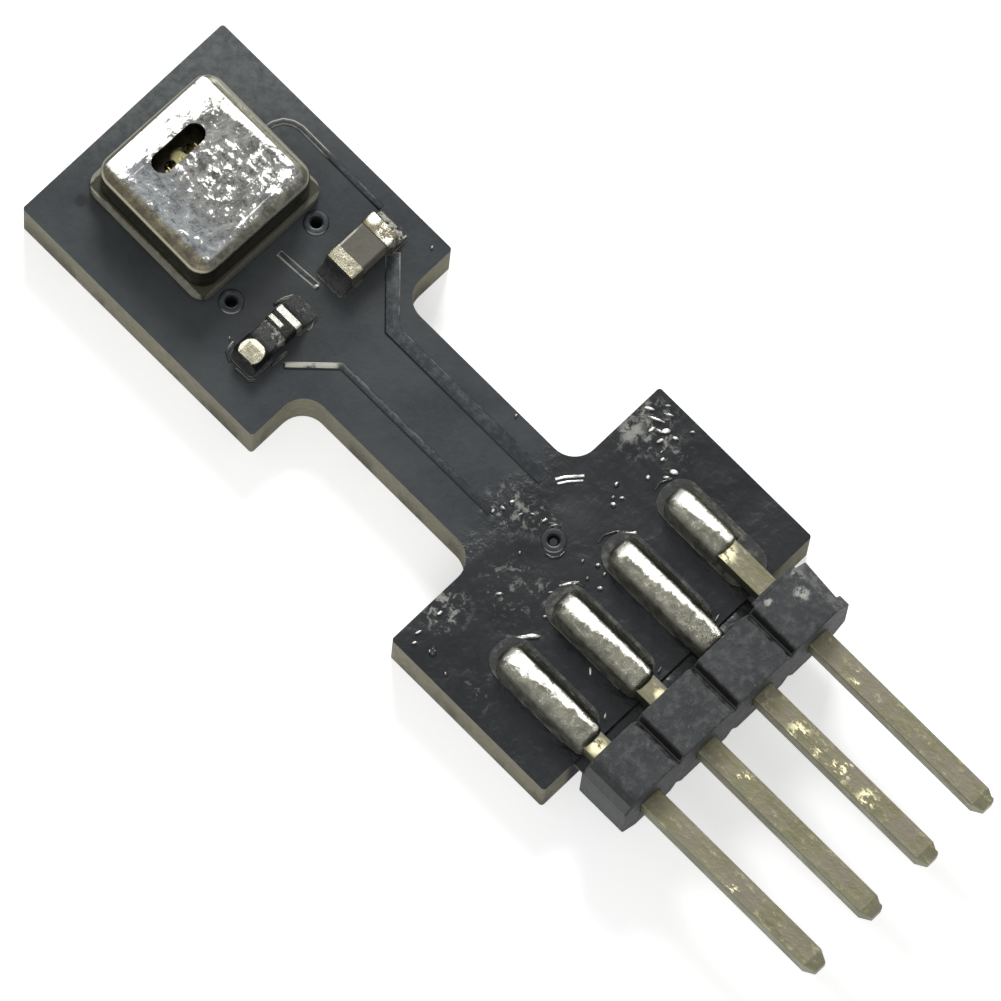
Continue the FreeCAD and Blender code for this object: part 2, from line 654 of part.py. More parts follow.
def make_chip_land(chip, x, side, turn):
    body = new_body("%s_land_%s" % (chip, side))
    outline = new_sketch(body, "%s_land_outline_%s" % (chip, side), "XY_Plane")
    middle = "Size.%s_long / 2 + (Size.pad_beyond - Size.pad_under) / 2" % chip
    wide = "(Size.%s_wide + 2 * Size.pad_margin)" % chip
    draw_rounded_rectangle(outline, "(Size.pad_under + Size.pad_beyond)", wide, "Size.land_round", x=middle)
    add_pad(body, outline, "Size.copper_thick")
    place(body, x, CHIP_LINE, "Size.board_thick", turn=turn)


def make_chip_solder(chip, x, side, turn, bare):
    """Solder with a hollow face between a chip's end and its land, of which it covers all
    but the rim; bare is how much of the land lies beyond the chip's end."""
    body = new_body("%s_solder_%s" % (chip, side))
    wide = "Size.%s_wide" % chip
    profile = new_sketch(body, "%s_fillet_%s" % (chip, side), "XZ_Plane", "-%s / 2" % wide)
    face = "Size.%s_long / 2" % chip
    toe = "%s + %s - Size.solder_edge" % (face, bare)
    rise = "Size.fillet_rise * Size.%s_high" % chip
    corners = [(face, "0"), (toe, "0"), (toe, "Size.solder_foot"), (face, rise)]
    draw_outline(profile, corners, {2: "Size.fillet_dish"})
    add_pad(body, profile, wide)
    place(body, x, CHIP_LINE, LAND_TOP, turn=turn)


def make_chip(chip, lands_x, slip="0"):
    """Chip component, which may have slipped to the left on its two lands."""
    x = "%s - %s" % (lands_x, slip)
    make_chip_body(chip, x)
    for side, turn, way in (("right", "0", "+"), ("left", "180", "-")):
        make_chip_end(chip, x, side, turn)
        make_chip_land(chip, lands_x, side, turn)
        make_chip_solder(chip, x, side, turn, "Size.pad_beyond %s %s" % (way, slip))


def check_and_export():
    doc.recompute()
    for item in doc.Objects:
        if "Invalid" in item.State or "Error" in item.State:
            raise RuntimeError("%s failed: %s" % (item.Name, item.State))
    for body in sub_parts:
        if body.Shape.isNull() or not body.Shape.isValid() or not body.Shape.Solids:
            raise RuntimeError("%s has no valid solid" % body.Label)
    os.makedirs("parts", exist_ok=True)
    for body in sub_parts:
        body.Shape.exportStep("parts/%s.step" % body.Label)
        box = body.Shape.BoundBox
        print("%-26s %d solid %9.5f mm3  x %.3f %.3f  y %.3f %.3f  z %.3f %.3f" % (
            body.Label, len(body.Shape.Solids), body.Shape.Volume,
            box.XMin, box.XMax, box.YMin, box.YMax, box.ZMin, box.ZMax))


fill_sheet()
make_circuit_board()
make_header_block()
for pin in range(int(value("Size.pin_count"))):
    make_pin(pin)
    make_pin_land(pin)
    make_pin_solder(pin)
make_sensor_joints()
make_sensor_carrier()
make_sensor_lid()
make_dies()
for wire in range(int(value("Size.wire_count"))):
    make_bond_wire(wire)
make_chip("capacitor", "Size.board_shift + Size.capacitor_side")
make_chip("resistor", "Size.board_shift - Size.resistor_side", "Size.resistor_slip")
check_and_export()
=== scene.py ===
import json
import math

import bmesh
import bpy
from mathutils import Matrix, Vector


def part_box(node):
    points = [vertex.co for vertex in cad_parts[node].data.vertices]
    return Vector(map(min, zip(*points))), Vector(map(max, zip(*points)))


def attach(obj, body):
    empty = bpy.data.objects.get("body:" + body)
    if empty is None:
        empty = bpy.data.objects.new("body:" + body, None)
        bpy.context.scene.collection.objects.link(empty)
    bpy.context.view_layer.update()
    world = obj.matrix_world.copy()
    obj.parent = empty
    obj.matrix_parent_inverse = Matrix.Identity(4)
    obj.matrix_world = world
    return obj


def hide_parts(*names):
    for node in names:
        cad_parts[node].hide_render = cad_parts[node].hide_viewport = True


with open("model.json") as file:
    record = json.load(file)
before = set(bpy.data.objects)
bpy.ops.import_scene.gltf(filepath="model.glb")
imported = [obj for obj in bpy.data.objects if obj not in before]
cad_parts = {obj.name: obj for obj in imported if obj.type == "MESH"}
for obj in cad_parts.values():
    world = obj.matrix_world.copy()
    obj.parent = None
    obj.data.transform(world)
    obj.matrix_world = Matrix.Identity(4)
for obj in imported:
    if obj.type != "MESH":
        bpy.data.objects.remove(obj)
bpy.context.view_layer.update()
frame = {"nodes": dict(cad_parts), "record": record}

bl_info = {
    "name": "Temperature and humidity sensor module",
    "version": (1, 0, 0),
    "blender": (4, 5, 0),
    "location": "3D View > Sidebar > Sensor Module",
    "description": "Dresses the packed sensor module: board, sensor can, chips, pin row and solder",
    "category": "Object",
}

MM = 0.001
# metres by which a vertex may miss a plane and still count as on it
TOUCH = 1e-6


def node_box(node):
    """Lowest and highest corner of a CAD node in millimetres."""
    low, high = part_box(node)
    return low / MM, high / MM


BOARD_TOP = node_box("circuit_board")[1].z
LID_LOW, LID_HIGH = node_box("sensor_lid")
LID_MIDDLE = (LID_LOW + LID_HIGH) / 2
LAND_TOP = node_box("pin_land_1")[1].z
DIE_LOW, DIE_HIGH = node_box("sensing_die")
BLOCK_TOP = node_box("header_block")[1].z
PINS = [node_box("pin_%d" % number) for number in (1, 2, 3, 4)]
PIN_PLACES = [(low.x + high.x) / 2 for low, high in PINS]
PIN_PITCH = PIN_PLACES[1] - PIN_PLACES[0]
CAPACITOR_HIGH = node_box("capacitor_body")[1]
VIAS = ((-0.855, 9.36), (1.075, 9.36), (0.08, 2.86))
PLATE_VIA = VIAS[2]


# Sizes and colours that a user would change

def linear_colour(red, green, blue):
    """Screen colour, 0 to 255, as the renderer's linear colour."""
    def linear(part):
        part /= 255
        return part / 12.92 if part <= 0.04045 else ((part + 0.055) / 1.055) ** 2.4
    return (linear(red), linear(green), linear(blue), 1.0)


def colour(name, description, red, green, blue):
    return bpy.props.FloatVectorProperty(
        name=name, description=description, default=linear_colour(red, green, blue),
        size=4, min=0.0, max=1.0, subtype="COLOR")


def length(name, description, millimetres):
    return bpy.props.FloatProperty(
        name=name, description=description, default=millimetres * MM,
        min=0.0, unit="LENGTH", precision=6)


class ModuleColours(bpy.types.PropertyGroup):
    mask: colour("Solder mask", "Mask on the head and the neck", 38, 43, 46)
    mask_light: colour("Mask mottling", "Lighter grains of the mask", 56, 60, 62)
    plate: colour("Plate", "Mask on the plate, under its film of flux", 20, 23, 26)
    wall: colour("Board edge", "Bare glass laminate at the board's edges", 126, 123, 106)
    wall_dark: colour("Board edge, stained", "Darker streaks on the board's edges", 94, 92, 80)
    # painted reflection: the bright band along the lid's far edges, and its polished flecks
    can_polish_and_reflection: colour("Sensor can, bright", "Polished patches of the sensor's lid", 250, 249, 243)
    # painted reflection: the lid's sides, dark as if reflecting dark surroundings
    can_side_reflection: colour("Sensor can, sides", "Dull sides of the sensor's lid", 70, 67, 48)
    carrier: colour("Carrier", "Laminate carrier under the sensor's lid", 128, 127, 114)
    gold: colour("Pins", "Dull gold plating of the pins", 124, 121, 100)
    gold_bright: colour("Pins, bright", "Polished blotches on the pins", 172, 168, 134)
    # painted highlight: the colour of the bright stripe along the solder's top
    solder: colour("Solder", "Bright solder on the pins", 232, 231, 222)
    solder_dull: colour("Solder, dull", "Grey flanks of the solder", 88, 87, 78)
    land: colour("Lands", "Stained tops of the copper lands", 38, 39, 38)
    plastic: colour("Header block", "Plastic of the header block", 40, 42, 44)
    ceramic: colour("Capacitor", "Ceramic of the capacitor", 90, 88, 78)
    tin: colour("Chip ends", "Tinned ends of the chip components", 150, 146, 128)


class ModuleTraces(bpy.types.PropertyGroup):
    wide: length("Wide trace", "Width of the wide trace along the neck", 0.25)
    narrow: length("Narrow traces", "Width of the narrow traces", 0.13)
    rise: length("Rise", "Height of the mask over a trace", 0.03)
    flank: length("Flank", "Bevel along a trace's edges", 0.034)
    rim: length("Via rim", "Width of the copper ring round a via", 0.11)


class ModuleSolder(bpy.types.PropertyGroup):
    half_width: length("Half width", "Half the width of the solder round a pin", 0.26)
    height: length("Height", "Height of the solder over the land", 0.5)
    foot_left: length("Left foot", "Solder on the land, left of the pin's axis", 0.28)
    foot_right: length("Right foot", "Solder on the land, right of the pin's axis", 0.43)
    round: length("Rounding", "Rounding of the solder's long edges", 0.14)


class ModuleFlux(bpy.types.PropertyGroup):
    film: length("Film", "Height of the flux's ridges", 0.03)
    line: length("Line", "Width of the flux's ridges", 0.05)
    bead: length("Bead", "Height of a flux bead as wide as one millimetre", 0.45)


class ModuleStage(bpy.types.PropertyGroup):
    key_power: bpy.props.FloatProperty(
        name="Key lamp", description="Power of the lamp on the right",
        default=0.36, min=0.0, unit="POWER")
    fill_power: bpy.props.FloatProperty(
        name="Fill lamp", description="Power of the lamp on the left",
        default=0.12, min=0.0, unit="POWER")
    room: bpy.props.FloatProperty(
        name="Room light", description="Even light from all round", default=0.36, min=0.0, soft_max=1.0)
    floor: colour("Floor", "Pale floor under the module", 230, 230, 230)


class ModuleSettings(bpy.types.PropertyGroup):
    colours: bpy.props.PointerProperty(type=ModuleColours)
    traces: bpy.props.PointerProperty(type=ModuleTraces)
    solder: bpy.props.PointerProperty(type=ModuleSolder)
    flux: bpy.props.PointerProperty(type=ModuleFlux)
    stage: bpy.props.PointerProperty(type=ModuleStage)


def settings():
    return bpy.context.scene.sensor_module


# Finishes

# fixed shades, as screen colours; those that a user may change are in ModuleColours
SHADES = {
    "mask_rubbed": (100, 104, 103), "mask_stain_and_shade": (27, 29, 30), "mask_spot": (18, 19, 20),
    "mask_speck": (104, 106, 106),
    "plate_light": (32, 35, 37), "plate_haze": (62, 65, 66), "frost": (150, 150, 144),
    "wall_light": (150, 147, 128), "wall_shade_behind_block": (28, 29, 29), "via_wall_shade": (20, 20, 19),
    "trace_light": (74, 79, 81), "trace_lit": (112, 114, 112), "trace_left_shade": (16, 17, 18),
    "trace_glint": (206, 204, 192), "trace_highlight_pale": (176, 175, 164), "pale_highlight": (196, 194, 180),
    "ring_dark": (34, 36, 37), "ring_glint": (146, 150, 147),
    "lid_grey": (84, 85, 84), "lid_pale": (116, 116, 113), "lid_pit": (58, 58, 55),
    "lid_cool": (90, 93, 95), "lid_cool_pale": (124, 127, 128), "lid_polish_and_reflection": (214, 213, 200),
    "lid_front_shade": (76, 76, 70), "lid_front_shade_pale": (104, 103, 94),
    "lid_left_shade": (78, 74, 62), "lid_left_shade_pale": (104, 99, 84),
    "lid_line": (88, 88, 76), "lid_line_pale": (140, 139, 126), "lid_side_dark_reflection": (46, 44, 31),
    "shoulder": (118, 117, 108), "shoulder_left_highlight": (150, 146, 128), "shoulder_far": (112, 111, 100),
    "carrier_light": (150, 148, 133), "carrier_front_shade": (88, 88, 79), "carrier_contact_shade": (58, 56, 42),
    "gold_streak": (108, 106, 84), "gold_worn": (116, 111, 100), "gold_pale_mark": (238, 230, 188),
    "gold_left_shade": (112, 112, 88), "gold_under_shade": (96, 93, 72),
    "solder_grey": (118, 117, 106), "solder_speck": (160, 159, 146), "solder_worn": (150, 149, 140),
    "flank_shade_dark": (58, 57, 50), "flank_shade_light": (100, 99, 90),
    "stain_shade_dark": (20, 21, 20), "stain_shade_light": (50, 52, 50), "stain_speck": (132, 132, 124),
    "stain_tin": (196, 194, 182),
    "land_light": (92, 92, 85), "land_rim_highlight_low": (84, 84, 78), "land_rim_highlight": (176, 175, 163),
    "plastic_cloud": (54, 56, 57), "plastic_grain": (84, 86, 86), "plastic_pit": (24, 25, 26),
    "plastic_speck": (122, 123, 121), "plastic_scuff": (186, 185, 178), "plastic_front_shade": (26, 27, 28),
    "plastic_snapped": (120, 121, 119), "notch_highlight_line": (104, 105, 103), "notch_shade_black": (10, 10, 10),
    "notch_left_shade": (16, 16, 17),
    "die_dark": (36, 34, 27), "die_light": (62, 58, 38), "die_window": (246, 240, 172),
    "gel": (132, 124, 70), "gel_light": (178, 168, 104), "gel_glint": (252, 250, 232),
    "wire": (208, 190, 128), "wire_light": (236, 224, 170),
    "ceramic_light": (98, 96, 85), "ceramic_dark": (80, 78, 70),
    "glass": (20, 21, 21), "glass_murk": (62, 64, 61), "glass_speck": (150, 150, 142), "glass_shadow_black": (8, 8, 8),
    "tin_dark": (118, 114, 97), "tin_fleck": (198, 195, 178), "tin_edge_highlight": (214, 212, 192),
    "tin_corner": (24, 24, 23), "tin_stained": (44, 44, 41), "tin_bar": (198, 198, 188),
    "tin_brown": (104, 99, 82), "tin_white": (244, 243, 226),
    "flux": (26, 28, 30), "flux_haze": (52, 54, 54), "fleck": (178, 178, 172), "fleck_white": (252, 252, 248),
}
UP, DOWN, LEFT, RIGHT, FRONT = (0, 0, 1), (0, 0, -1), (-1, 0, 0), (1, 0, 0), (0, -1, 0)
# sockets of the Mix node when it mixes colours
MIX_SHARE, MIX_ONE, MIX_TWO, MIX_RESULT = 0, 6, 7, 2
# where most of a noise lies, and the share of a patch's reach that is whole
NOISE_LOW, NOISE_HIGH = 0.3, 0.7
PATCH_CORE = 0.3


def shade(name):
    """Linear colour of a fixed shade, or of one that a user may change."""
    if name in SHADES:
        return linear_colour(*SHADES[name])
    return getattr(settings().colours, name)


class Finish:
    """Node tree of one finish. Patterns read the place on the object, in millimetres."""

    def __init__(self, name, **constants):
        self.material = bpy.data.materials.new(name)
        self.material.use_nodes = True
        self.tree = self.material.node_tree
        self.shader = next(n for n in self.tree.nodes if n.type == "BSDF_PRINCIPLED")
        for socket, amount in constants.items():
            self.give(socket.replace("_", " "), amount)
        on_object = self.node("ShaderNodeTexCoord", {}, "Object")
        self.place = self.node("ShaderNodeVectorMath", {0: on_object, "Scale": 1 / MM}, operation="SCALE")
        split = self.tree.nodes.new("ShaderNodeSeparateXYZ")
        self.feed(split.inputs[0], self.place)
        self.x, self.y, self.z = split.outputs
        self.normal = self.node("ShaderNodeNewGeometry", {}, "Normal")

    def node(self, kind, feeds, output=0, **choices):
        """One output of a new node, with its choices made and its inputs fed."""
        made = self.tree.nodes.new(kind)
        for name, choice in choices.items():
            setattr(made, name, choice)
        for name, amount in feeds.items():
            self.feed(made.inputs[name], amount)
        return made.outputs[output]

    def feed(self, socket, amount):
        """Link a node's output to a socket, or set a shade or a number on it."""
        if isinstance(amount, bpy.types.NodeSocket):
            self.tree.links.new(amount, socket)
        else:
            socket.default_value = shade(amount) if isinstance(amount, str) else amount

    def give(self, name, amount):
        self.feed(self.shader.inputs[name], amount)

    def noise(self, scale, detail=3.0, roughness=0.5, distortion=0.0,
              stretch=(1, 1, 1), shift=(0, 0, 0), turn=0.0):
        """Noise with about that many grains to a millimetre."""
        place = self.node("ShaderNodeMapping", {
            "Vector": self.place, "Location": shift, "Rotation": (0, 0, math.radians(turn)), "Scale": stretch,
        })
        return self.node("ShaderNodeTexNoise", {
            "Vector": place, "Scale": scale, "Detail": detail, "Roughness": roughness, "Distortion": distortion,
        }, "Fac")

    def math(self, operation, *parts):
        """The parts taken together two by two."""
        result = parts[0]
        for part in parts[1:]:
            result = self.node("ShaderNodeMath", {0: result, 1: part}, operation=operation)
        return result

    def plus(self, *parts):
        return self.math("ADD", *parts)

    def minus(self, one, two):
        return self.math("SUBTRACT", one, two)

    def times(self, *parts):
        return self.math("MULTIPLY", *parts)

    def most(self, *parts):
        return self.math("MAXIMUM", *parts)

    def stray(self, amount, noise, share):
        """The amount, led astray by a share of the noise."""
        return self.plus(amount, self.times(noise, share))

    def apart(self, one, two):
        """How far one number is from another."""
        return self.node("ShaderNodeMath", {0: self.minus(one, two)}, operation="ABSOLUTE")

    def step(self, amount, low, high, start=0.0, finish=1.0):
        """Goes smoothly from start to finish while the amount goes from low to high."""
        return self.node("ShaderNodeMapRange", {
            "Value": amount, "From Min": low, "From Max": high, "To Min": start, "To Max": finish,
        }, interpolation_type="SMOOTHSTEP")

    def rough(self, noise, start, finish):
        """Roughness that goes from start to finish with the noise."""
        return self.step(noise, NOISE_LOW, NOISE_HIGH, start, finish)

    def mix(self, share, one, two):
        feeds = {MIX_SHARE: share, MIX_ONE: one, MIX_TWO: two}
        return self.node("ShaderNodeMix", feeds, MIX_RESULT, data_type="RGBA")

    def mottle(self, noise, low, high, one, two):
        """The first colour where the noise is under low, the second where it is over high."""
        return self.mix(self.step(noise, low, high), one, two)

    def layers(self, tone, *coats):
        """Each coat's colour laid over the tone, by its share."""
        for share, colour in coats:
            tone = self.mix(share, tone, colour)
        return tone

    def facing(self, direction, low, high):
        """Rises from 0 to 1 as the surface turns to face the direction."""
        turned = self.node("ShaderNodeVectorMath", {0: self.normal, 1: Vector(direction).normalized()}, "Value",
                           operation="DOT_PRODUCT")
        return self.step(turned, low, high)

    def distance(self, spot):
        """Distance from an upright line through the spot."""
        flat = self.node("ShaderNodeVectorMath", {0: self.place, 1: (1, 1, 0)}, operation="MULTIPLY")
        return self.node("ShaderNodeVectorMath", {0: flat, 1: (*spot, 0)}, "Value", operation="DISTANCE")

    def near(self, spot, inner, outer):
        return self.step(self.distance(spot), inner, outer, 1.0, 0.0)

    def patch(self, spot, reach, ragged, threshold, soft):
        """Patch round the spot whose edge follows a noise."""
        whole = self.near(spot, PATCH_CORE * reach, reach)
        return self.times(whole, self.step(ragged, threshold, threshold + soft))

    def bump(self, height, depth, over=None):
        """Relief of that depth in millimetres, over another relief if one is given."""
        under = {} if over is None else {"Normal": over}
        return self.node("ShaderNodeBump", {"Strength": 1.0, "Distance": depth * MM, "Height": height, **under})

    def complete(self, tone, roughness=None, relief=None):
        """Feed the shader what the finish has, and return the material."""
        for name, amount in (("Base Color", tone), ("Roughness", roughness), ("Normal", relief)):
            if amount is not None:
                self.give(name, amount)
        return self.material


# flux stains round the two chips, darkened further by painted shade, and by the plate's via: place, inner and outer
# reach
CAPACITOR_STAIN_AND_SHADE = ((1.2, 8.1), 0.3, 0.95)
RESISTOR_STAIN_AND_SHADE = ((-0.6, 8.5), 0.4, 1.1)
VIA_HAZE = ((0.62, 2.95), 0.0, 0.6)
MASK_SPOTS = ((-1.41, 12.28), (-1.05, 12.33))
# frosted flux on the plate's rear corners, the neck's foot and beside the first land:
# place, reach, level of the noise at its edge, share
FROST_PATCHES = (
    ((2.5, 3.2), 0.75, 0.5, 0.75), ((2.3, 3.3), 0.3, 0.4, 0.85), ((-2.0, 3.27), 0.55, 0.5, 0.9),
    ((-0.05, 3.75), 0.6, 0.51, 0.7), ((0.2, 3.2), 0.4, 0.52, 0.7), ((-0.95, 2.75), 0.75, 0.53, 0.55),
    ((-0.5, 2.2), 0.4, 0.53, 0.6), ((-2.5, 1.9), 0.6, 0.54, 0.3), ((2.5, 2.6), 0.5, 0.54, 0.6),
)
BARE_ROUGHNESS = 0.85


def make_mask_finish():
    """Mask on top, glossy with flux on the plate, and laminate without mask on the board's edges."""
    f = Finish("solder_mask", Specular_IOR_Level=0.3)
    cloud = f.noise(0.7, 4, 0.6)
    grain = f.noise(9.0, 6, 0.7)
    frost = f.noise(6.0, 8, 0.72, 0.4, shift=(7, 2, 0))
    specks = f.noise(16.0, 3, 0.6, shift=(3, 1, 0))
    # rubbed paler towards the head's far side, darker round the chips with flux stains and painted shade
    slope = f.plus(f.times(f.x, 0.75), f.y)
    rubbed = f.times(f.step(slope, 11.2, 13.4, 0.0, 0.85), f.step(frost, 0.34, 0.64, 0.3, 1.0))
    stain_and_shade = f.times(f.most(f.near(*CAPACITOR_STAIN_AND_SHADE), f.near(*RESISTOR_STAIN_AND_SHADE)), 0.55)
    flux = f.step(f.stray(f.y, f.noise(1.3, 5, 0.65), 1.5), 4.1, 5.0, 1.0, 0.0)
    frosted = ((f.times(f.patch(spot, reach, frost, level, 0.1), share), "frost")
               for spot, reach, level, share in FROST_PATCHES)
    tone = f.layers(
        f.mottle(cloud, 0.35, 0.65, "mask", "mask_light"),
        (f.step(grain, 0.35, 0.75, 0.0, 0.45), "mask_light"),
        (rubbed, "mask_rubbed"),
        (stain_and_shade, "mask_stain_and_shade"),
        (flux, f.mottle(cloud, 0.4, 0.62, "plate", "plate_light")),
        (f.times(f.near(*VIA_HAZE), 0.5), "plate_haze"),
        *frosted,
        *((f.near(spot, 0.05, 0.16), "mask_spot") for spot in MASK_SPOTS),
        (f.step(specks, 0.7, 0.77, 0.0, 0.3), "mask_speck"))
    # laminate: streaks low on its edges, and painted shade on the wall behind the block and in the vias
    fibre = f.noise(6.0, 5, 0.7, stretch=(1, 1, 3.0))
    streak = f.step(f.noise(1.6, 5, 0.6, stretch=(1, 1, 0.3)), 0.45, 0.65)
    low = f.step(f.z, 0.1, BOARD_TOP - 0.1, 0.9, 0.1)
    along_block = f.times(f.step(f.x, -2.5, -2.3), f.step(f.x, 2.1, 2.3, 1.0, 0.0))
    shade_behind_block = f.times(along_block, f.step(f.y, 0.1, 0.2, 1.0, 0.0))
    wall = f.layers(
        f.mottle(fibre, 0.3, 0.7, "wall", "wall_light"),
        (f.times(low, streak), "wall_dark"),
        (f.times(f.facing(FRONT, 0.8, 0.95), shade_behind_block), "wall_shade_behind_block"),
        (f.most(*(f.near(spot, 0.12, 0.2) for spot in VIAS)), "via_wall_shade"))
    flat = f.most(f.facing(UP, 0.5, 0.8), f.facing(DOWN, 0.5, 0.8))
    gloss = f.minus(f.step(grain, 0.2, 0.8, 0.42, 0.56), f.times(flux, 0.2))
    roughness = f.plus(f.times(flat, f.minus(gloss, BARE_ROUGHNESS)), BARE_ROUGHNESS)
    wet = f.times(f.noise(1.5, 4, 0.5, 0.2), f.step(flux, 0.0, 1.0, 0.3, 1.0))
    return f.complete(f.mix(flat, wall, tone), roughness, f.bump(wet, 0.06, f.bump(grain, 0.005)))


# painted highlights on a trace's top, and on the traces' edges: place, inner and outer reach
LEAD_HIGHLIGHT = ((-0.68, 7.68), 0.38, 0.48)
EDGE_HIGHLIGHT_SPOTS = (((1.95, 10.7), 0.5, 0.75), ((0.3, 9.0), 0.5, 0.65), ((-0.07, 8.45), 0.35, 0.45))


def make_trace_finish():
    """Mask over copper: paler on top, with painted highlights on the edges that face the light and painted shade on
    the others.
    """
    f = Finish("trace_mask", Specular_IOR_Level=0.3)
    grain = f.noise(9.0, 6, 0.75)
    broken = f.noise(4.0, 6, 0.7, shift=(2, 6, 0))
    head = f.step(f.y, 7.3, 7.5)
    flux = f.step(f.y, 4.4, 5.2, 0.5, 0.0)
    # the top, with a painted highlight on the lead at the head
    top = f.layers(
        f.mottle(grain, 0.4, 0.7, "mask", "trace_light"),
        (flux, "plate"),
        (f.times(f.near(*LEAD_HIGHLIGHT), f.step(broken, 0.34, 0.5), 0.75), "pale_highlight"))
    # painted highlights on the edges in a few places
    edge_highlights = f.times(f.most(*(f.near(*place) for place in EDGE_HIGHLIGHT_SPOTS)), f.step(broken, 0.36, 0.5, 0.4, 1.0))
    # the flanks: painted highlights where they face the light, painted shade where they face left
    edge = f.layers(
        f.mottle(broken, 0.46, 0.62, "mask_light", "trace_lit"),
        (f.facing(LEFT, 0.05, 0.4), "trace_left_shade"),
        (flux, "plate"),
        (f.times(f.facing((1, 1, 0), 0.3, 0.6), head), "trace_glint"),
        (edge_highlights, "trace_highlight_pale"))
    for x, y in VIAS:
        # each via's ring: dark, with a painted glint on its lower left
        ring = f.mix(f.near((x - 0.13, y - 0.13), 0.08, 0.2), "ring_dark", "ring_glint")
        edge = f.mix(f.near((x, y), 0.25, 0.27), edge, ring)
    return f.complete(f.mix(f.facing(UP, 0.9, 0.97), edge, top), 0.42, f.bump(grain, 0.006))


# where the lid is scuffed most, from its middle: place, inner and outer reach, share
SCUFFS = (((0.95, -0.75), 0.1, 0.6, 0.06), ((0.05, -0.05), 0.2, 0.7, 0.035))


def make_lid_finish():
    """Drawn metal: scuffed grey in the middle, a painted reflection along the two far edges, painted shade in brown
    on the near shoulders, and sides painted dark as a reflection.
    """
    f = Finish("lid_metal", Metallic=1.0)
    x, y = f.minus(f.x, LID_MIDDLE.x), f.minus(f.y, LID_MIDDLE.y)
    blot = f.noise(3.0, 8, 0.72, 0.4, stretch=(1, 1.6, 1))
    fleck = f.noise(9.0, 7, 0.7, stretch=(1.0, 0.65, 1), shift=(1, 4, 0))
    scratch = f.noise(2.6, 5, 0.7, stretch=(0.3, 5.0, 1), turn=40)
    holes = f.noise(5.0, 7, 0.7, stretch=(0.6, 1.4, 1), shift=(3, 3, 3))
    ragged = f.times(f.minus(blot, 0.5), 1.5)
    # a painted reflection as a band behind and on the right, and flecks of polished metal in the scuffed part
    behind = f.step(f.plus(y, ragged, f.step(x, -1.15, -0.6, -0.14, 0.0)), 0.79, 0.84)
    beside = f.stray(f.stray(x, y, 0.12), ragged, 0.4)
    band = f.most(behind, f.times(f.step(beside, 0.98, 1.03), f.step(y, -0.95, -0.85)))
    worn = f.minus(fleck, f.step(f.stray(x, ragged, 0.6), -0.8, -0.2, 0.05, 0.0))
    for (aside, along), inner, outer, share in SCUFFS:
        worn = f.stray(worn, f.near((LID_MIDDLE.x + aside, LID_MIDDLE.y + along), inner, outer), share)
    flecks = f.most(f.step(worn, 0.565, 0.6), f.step(scratch, 0.66, 0.7, 0.0, 0.5))
    polish_and_reflection = f.most(f.times(band, f.step(holes, 0.38, 0.44)), flecks)
    cool = f.step(f.stray(x, ragged, 0.5), -0.75, -0.3, 0.8, 0.0)
    # painted shade: brown shoulders on the two near sides, running on over the edge of the flat
    left = f.step(f.stray(x, ragged, 0.08), -1.1, -1.02, 1.0, 0.0)
    front = f.step(f.stray(y, ragged, 0.08), -1.14, -1.06, 1.0, 0.0)
    # the far shoulders: a grey line, and a pale one beyond it on the right
    half = LID_HIGH.x - LID_MIDDLE.x
    grey_line = f.most(f.step(x, half - 0.2, half - 0.18), f.step(y, half - 0.11, half - 0.09))
    top = f.layers(
        f.mottle(blot, 0.36, 0.6, "lid_grey", "lid_pale"),
        (f.step(fleck, 0.34, 0.44, 0.7, 0.0), "lid_pit"),
        (cool, f.mottle(fleck, 0.35, 0.6, "lid_cool", "lid_cool_pale")),
        (polish_and_reflection, f.mottle(fleck, 0.36, 0.5, "lid_polish_and_reflection", "can_polish_and_reflection")),
        (front, f.mottle(fleck, 0.4, 0.6, "lid_front_shade", "lid_front_shade_pale")),
        (left, f.mottle(blot, 0.4, 0.6, "lid_left_shade", "lid_left_shade_pale")),
        (grey_line, "lid_line"),
        (f.step(x, half - 0.12, half - 0.1), "lid_line_pale"))
    far = f.most(f.facing((1, 0, 0.3), 0.5, 0.8), f.facing((0, 1, 0.3), 0.5, 0.8))
    # sides painted dark as a reflection; shoulders with a painted highlight where they face left
    tone = f.layers(
        f.mottle(blot, 0.3, 0.7, "lid_side_dark_reflection", "can_side_reflection"),
        (f.facing(UP, 0.3, 0.42), f.layers(
            f.mix(f.facing(LEFT, 0.3, 0.6), "shoulder", "shoulder_left_highlight"),
            (far, "shoulder_far"),
            (f.facing(UP, 0.62, 0.74), top))))
    return f.complete(tone, f.rough(fleck, 0.24, 0.38), f.bump(f.stray(blot, fleck, 0.3), 0.014))


def make_carrier_finish():
    """Laminate with painted shade on its ledge next to the lid and on its front side, pale at its rim."""
    f = Finish("carrier_laminate", Specular_IOR_Level=0.3)
    grain = f.noise(8.0, 5, 0.65)
    out = f.most(f.apart(f.x, LID_MIDDLE.x), f.apart(f.y, LID_MIDDLE.y))
    out = f.stray(out, f.minus(grain, 0.5), 0.06)
    # painted shade on the carrier's front side
    pale = f.mix(f.step(f.y, LID_LOW.y - 0.02, LID_LOW.y + 0.08), "carrier_front_shade",
                 f.mottle(grain, 0.3, 0.7, "carrier", "carrier_light"))
    # painted shade on the ledge next to the lid
    tone = f.mottle(out, 1.32, 1.345, "carrier_contact_shade", pale)
    return f.complete(tone, f.rough(grain, 0.5, 0.75), f.bump(grain, 0.01))


